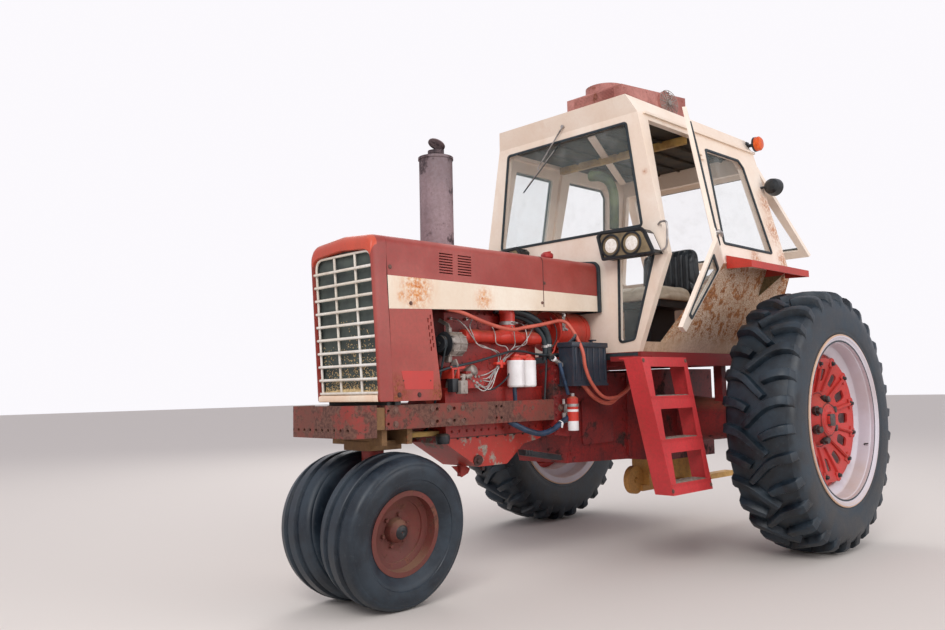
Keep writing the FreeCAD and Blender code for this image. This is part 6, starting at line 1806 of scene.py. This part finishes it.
def addPad(name, outline, place, thick, channels, rise, replaced, finish, look):
    # a closed cushion: outline of flat (a, b) points, thick along place's third value, with sewn channels;
    # rise tells how far a point stands along that third value
    middle = Vector((sum(p[0] for p in outline) / len(outline), sum(p[1] for p in outline) / len(outline)))
    bm = bmesh.new()
    rings = []
    for share, up in ((0.97, 0.0), (0.985, 0.12), (0.99, 0.6), (0.975, 0.8), (0.93, 0.92), (0.84, 0.97),
                      (0.6, 1.0), (0.3, 1.02), (0.08, 1.03)):
        rings.append([bm.verts.new(place(middle.x + (a - middle.x) * share, middle.y + (b - middle.y) * share,
                                         thick * up)) for a, b in outline])
    for first, second in zip(rings, rings[1:]):
        for i in range(len(outline)):
            j = (i + 1) % len(outline)
            bm.faces.new((first[i], first[j], second[j], second[i]))
    bm.faces.new(rings[-1])
    bm.faces.new(list(reversed(rings[0])))
    mesh = swollen(bm, look, lambda p: rise(p)[2] < thick * 0.2)
    outward = place(0, 0, 1) - place(0, 0, 0)
    for vert in mesh.vertices:
        a, b, up = rise(vert.co)
        if up < thick * 0.5:
            continue
        sink = sum(look["channelDeep"] * math.exp(-((a - line) / look["channelHalf"]) ** 2)
                   for line in channels)
        vert.co = vert.co - outward * sink
    bm = bmesh.new()
    bm.from_mesh(mesh)
    pad = makePiece(bm, name, finish, "chassis", 60)
    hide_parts(replaced)


seatLook = {
    "voxel": 0.006, "pressure": 4.0, "cap": 0.010, "channelDeep": 0.009, "channelHalf": 0.009,
    "cushionLow": 1.6505, "cushionThick": 0.098, "backRear": 0.2245, "backThick": 0.066,
}


def addSeat(look):
    low, rear = look["cushionLow"], look["backRear"]
    cushion = roundLoop([(-0.243, -0.322, 0.06), (0.243, -0.322, 0.06), (0.243, 0.100, 0.04),
                         (-0.243, 0.100, 0.04)], 6)
    addPad("seat_cushion_pad", cushion, lambda a, b, t: at(a, b, low + t), look["cushionThick"],
           [-0.12, 0.0, 0.12], lambda p: (p.x, p.y - axleY, p.z - low), "seat_cushion",
           finishes["creamVinyl"], look)
    back = roundLoop([(-0.248, 1.706, 0.03), (0.248, 1.706, 0.03), (0.230, 2.062, 0.08),
                      (-0.230, 2.062, 0.08)], 6)
    addPad("seat_back_pad", back, lambda a, b, t: at(a, rear - t, b), look["backThick"],
           [-0.18 + 0.045 * k for k in range(9)], lambda p: (p.x, p.z, rear - (p.y - axleY)), "seat_back",
           finishes["blackVinyl"], look)


treadLook = {"steps": (0.985, 0.745, 0.500), "topZ": 1.215, "topX": 0.750, "outRun": 0.110, "height": 0.770,
             "front": -1.340, "topLength": 0.470, "lowLength": 0.420, "depth": 0.120}


def addLadderTreads(look):
    bm = bmesh.new()
    rear = look["front"] + look["topLength"] + 0.050
    lowFront = rear - look["lowLength"]
    for z in look["steps"]:
        share = (look["topZ"] - z) / look["height"]
        start = look["front"] + share * (lowFront - look["front"]) + 0.022
        end = rear - 0.050 + share * 0.050 - 0.022
        x = look["topX"] + share * look["outRun"]
        addBox(bm, at(x - look["depth"] + 0.012, start, z + 0.0075), at(x - 0.006, end, z + 0.0105), 0.001)
        # raised diamonds
        columns = 12
        for i in range(columns):
            for k in range(3):
                y = start + (end - start) * (i + 0.5 + 0.3 * (k % 2)) / (columns + 0.5)
                middle = at(x - look["depth"] + 0.030 + k * 0.033, y, z + 0.0105)
                lean = Matrix.Translation(middle) @ Matrix.Rotation(0.7 if (i + k) % 2 else -0.7, 4, "Z")
                addBox(bm, (-0.009, -0.003, 0), (0.009, 0.003, 0.0022), 0, turn=lean)
    makePiece(bm, "ladder_treads", finishes["treadGrey"], "chassis", 30)
    bm = bmesh.new()
    for y, z in ((-1.325, 1.195), (-0.885, 1.195), (-1.240, 0.470), (-0.835, 0.470)):
        addBolt(bm, at(look["topX"] + (look["topZ"] - z) / look["height"] * look["outRun"], y, z),
                (1, 0, 0.14), 0.009, 0.006)
    makePiece(bm, "ladder_bolts", finishes["rustyBolt"], "chassis")


def addLowerDetails():
    # bolts along the transmission's joints
    bm = bmesh.new()
    for side in (1, -1):
        for k in range(8):
            addBolt(bm, at(side * 0.240, -1.478, 0.800 + k * 0.050), (side, 0, 0), 0.010, 0.010)
        for k in range(6):
            addBolt(bm, at(side * 0.186, -0.735, 0.660 + k * 0.088), (side, 0, 0), 0.011, 0.010)
            addBolt(bm, at(side * 0.186, -1.290, 0.660 + k * 0.088), (side, 0, 0), 0.011, 0.010)
        for k in range(10):
            turn = 2 * math.pi * k / 10
            addBolt(bm, at(side * 0.232, 0.148 * math.cos(turn), 0.815 + 0.148 * math.sin(turn)),
                    (side, 0, 0), 0.010, 0.009)
    makePiece(bm, "case_bolts", finishes["caseRed"], "chassis")
    bm = bmesh.new()
    for side in (1, -1):
        # ribs and cover plates on the case's sides
        addPlate(bm, roundLoop([(-1.18, 0.70, 0.03), (-0.86, 0.70, 0.03), (-0.86, 0.98, 0.03),
                                (-1.18, 0.98, 0.03)], 4),
                 lambda a, b: at(side * 0.185, a, b), (side * 0.012, 0, 0), 0.003)
        for y in (-0.70, -1.335):
            addStrip(bm, [at(side * 0.186, y, 0.60), at(side * 0.186, y, 1.13)], (0, 0.022, 0), 0.010,
                     at(0, y, 0.9))
    makePiece(bm, "case_covers", finishes["caseRed"], "chassis")


addGaskets()
addRearWindowGasket()
addHeadlamps(headlampLook)
addWiper(wiperLook)
addCabSideTrim()
addDoorHandles()
addRoofUnitDetails()
addCabLampBodies()
addHeadliner()
addDuct()
addSeat(seatLook)
addLadderTreads(treadLook)
addLowerDetails()
print("cab dressed")



# studio: pale floor, white surround, soft light

studioLook = {"floor": srgb(214, 206, 198), "sky": (0.93, 0.92, 1.0, 1.0), "skyStrength": 0.78,
              "keyWatts": 420, "fillWatts": 160, "rimWatts": 260}


def addStudio(look):
    bm = bmesh.new()
    reach = 60
    corners = [bm.verts.new((x, y, 0.0)) for x, y in ((-reach, -reach), (reach, -reach), (reach, reach),
                                                      (-reach, reach))]
    bm.faces.new(corners)
    mesh = bpy.data.meshes.new("floor")
    bm.to_mesh(mesh)
    bm.free()
    finish = Finish("floor", 0.9)
    finish.colour(look["floor"])
    mesh.materials.append(finish.material)
    floor = bpy.data.objects.new("floor", mesh)
    bpy.context.scene.collection.objects.link(floor)
    world = bpy.data.worlds.new("studio")
    world.use_nodes = True
    tree = world.node_tree
    back = tree.nodes["Background"]
    back.inputs["Color"].default_value = look["sky"]
    back.inputs["Strength"].default_value = look["skyStrength"]
    white = tree.nodes.new("ShaderNodeBackground")
    white.inputs["Color"].default_value = (0.97, 0.95, 0.985, 1)
    path = tree.nodes.new("ShaderNodeLightPath")
    seen = tree.nodes.new("ShaderNodeMath")
    seen.operation = "MAXIMUM"
    tree.links.new(path.outputs["Is Camera Ray"], seen.inputs[0])
    tree.links.new(path.outputs["Is Transmission Ray"], seen.inputs[1])
    mix = tree.nodes.new("ShaderNodeMixShader")
    tree.links.new(seen.outputs[0], mix.inputs[0])
    tree.links.new(back.outputs[0], mix.inputs[1])
    tree.links.new(white.outputs[0], mix.inputs[2])
    tree.links.new(mix.outputs[0], tree.nodes["World Output"].inputs["Surface"])
    bpy.context.scene.world = world
    aim = Vector((0, 0, 1.2))
    # name, place, size, watts
    for name, place, size, watts in (("key", (5.0, -7.5, 6.5), 4.0, look["keyWatts"]),
                                     ("fill", (7.5, 2.0, 3.0), 4.0, look["fillWatts"]),
                                     ("rim", (-6.0, 4.0, 7.0), 5.0, look["rimWatts"])):
        data = bpy.data.lights.new(name, "AREA")
        data.size = size
        data.energy = watts
        lamp = bpy.data.objects.new(name, data)
        lamp.location = place
        lamp.rotation_euler = (aim - Vector(place)).to_track_quat("-Z", "Y").to_euler()
        bpy.context.scene.collection.objects.link(lamp)
    bpy.context.scene.view_settings.view_transform = "Standard"


addStudio(studioLook)
print("studio made")
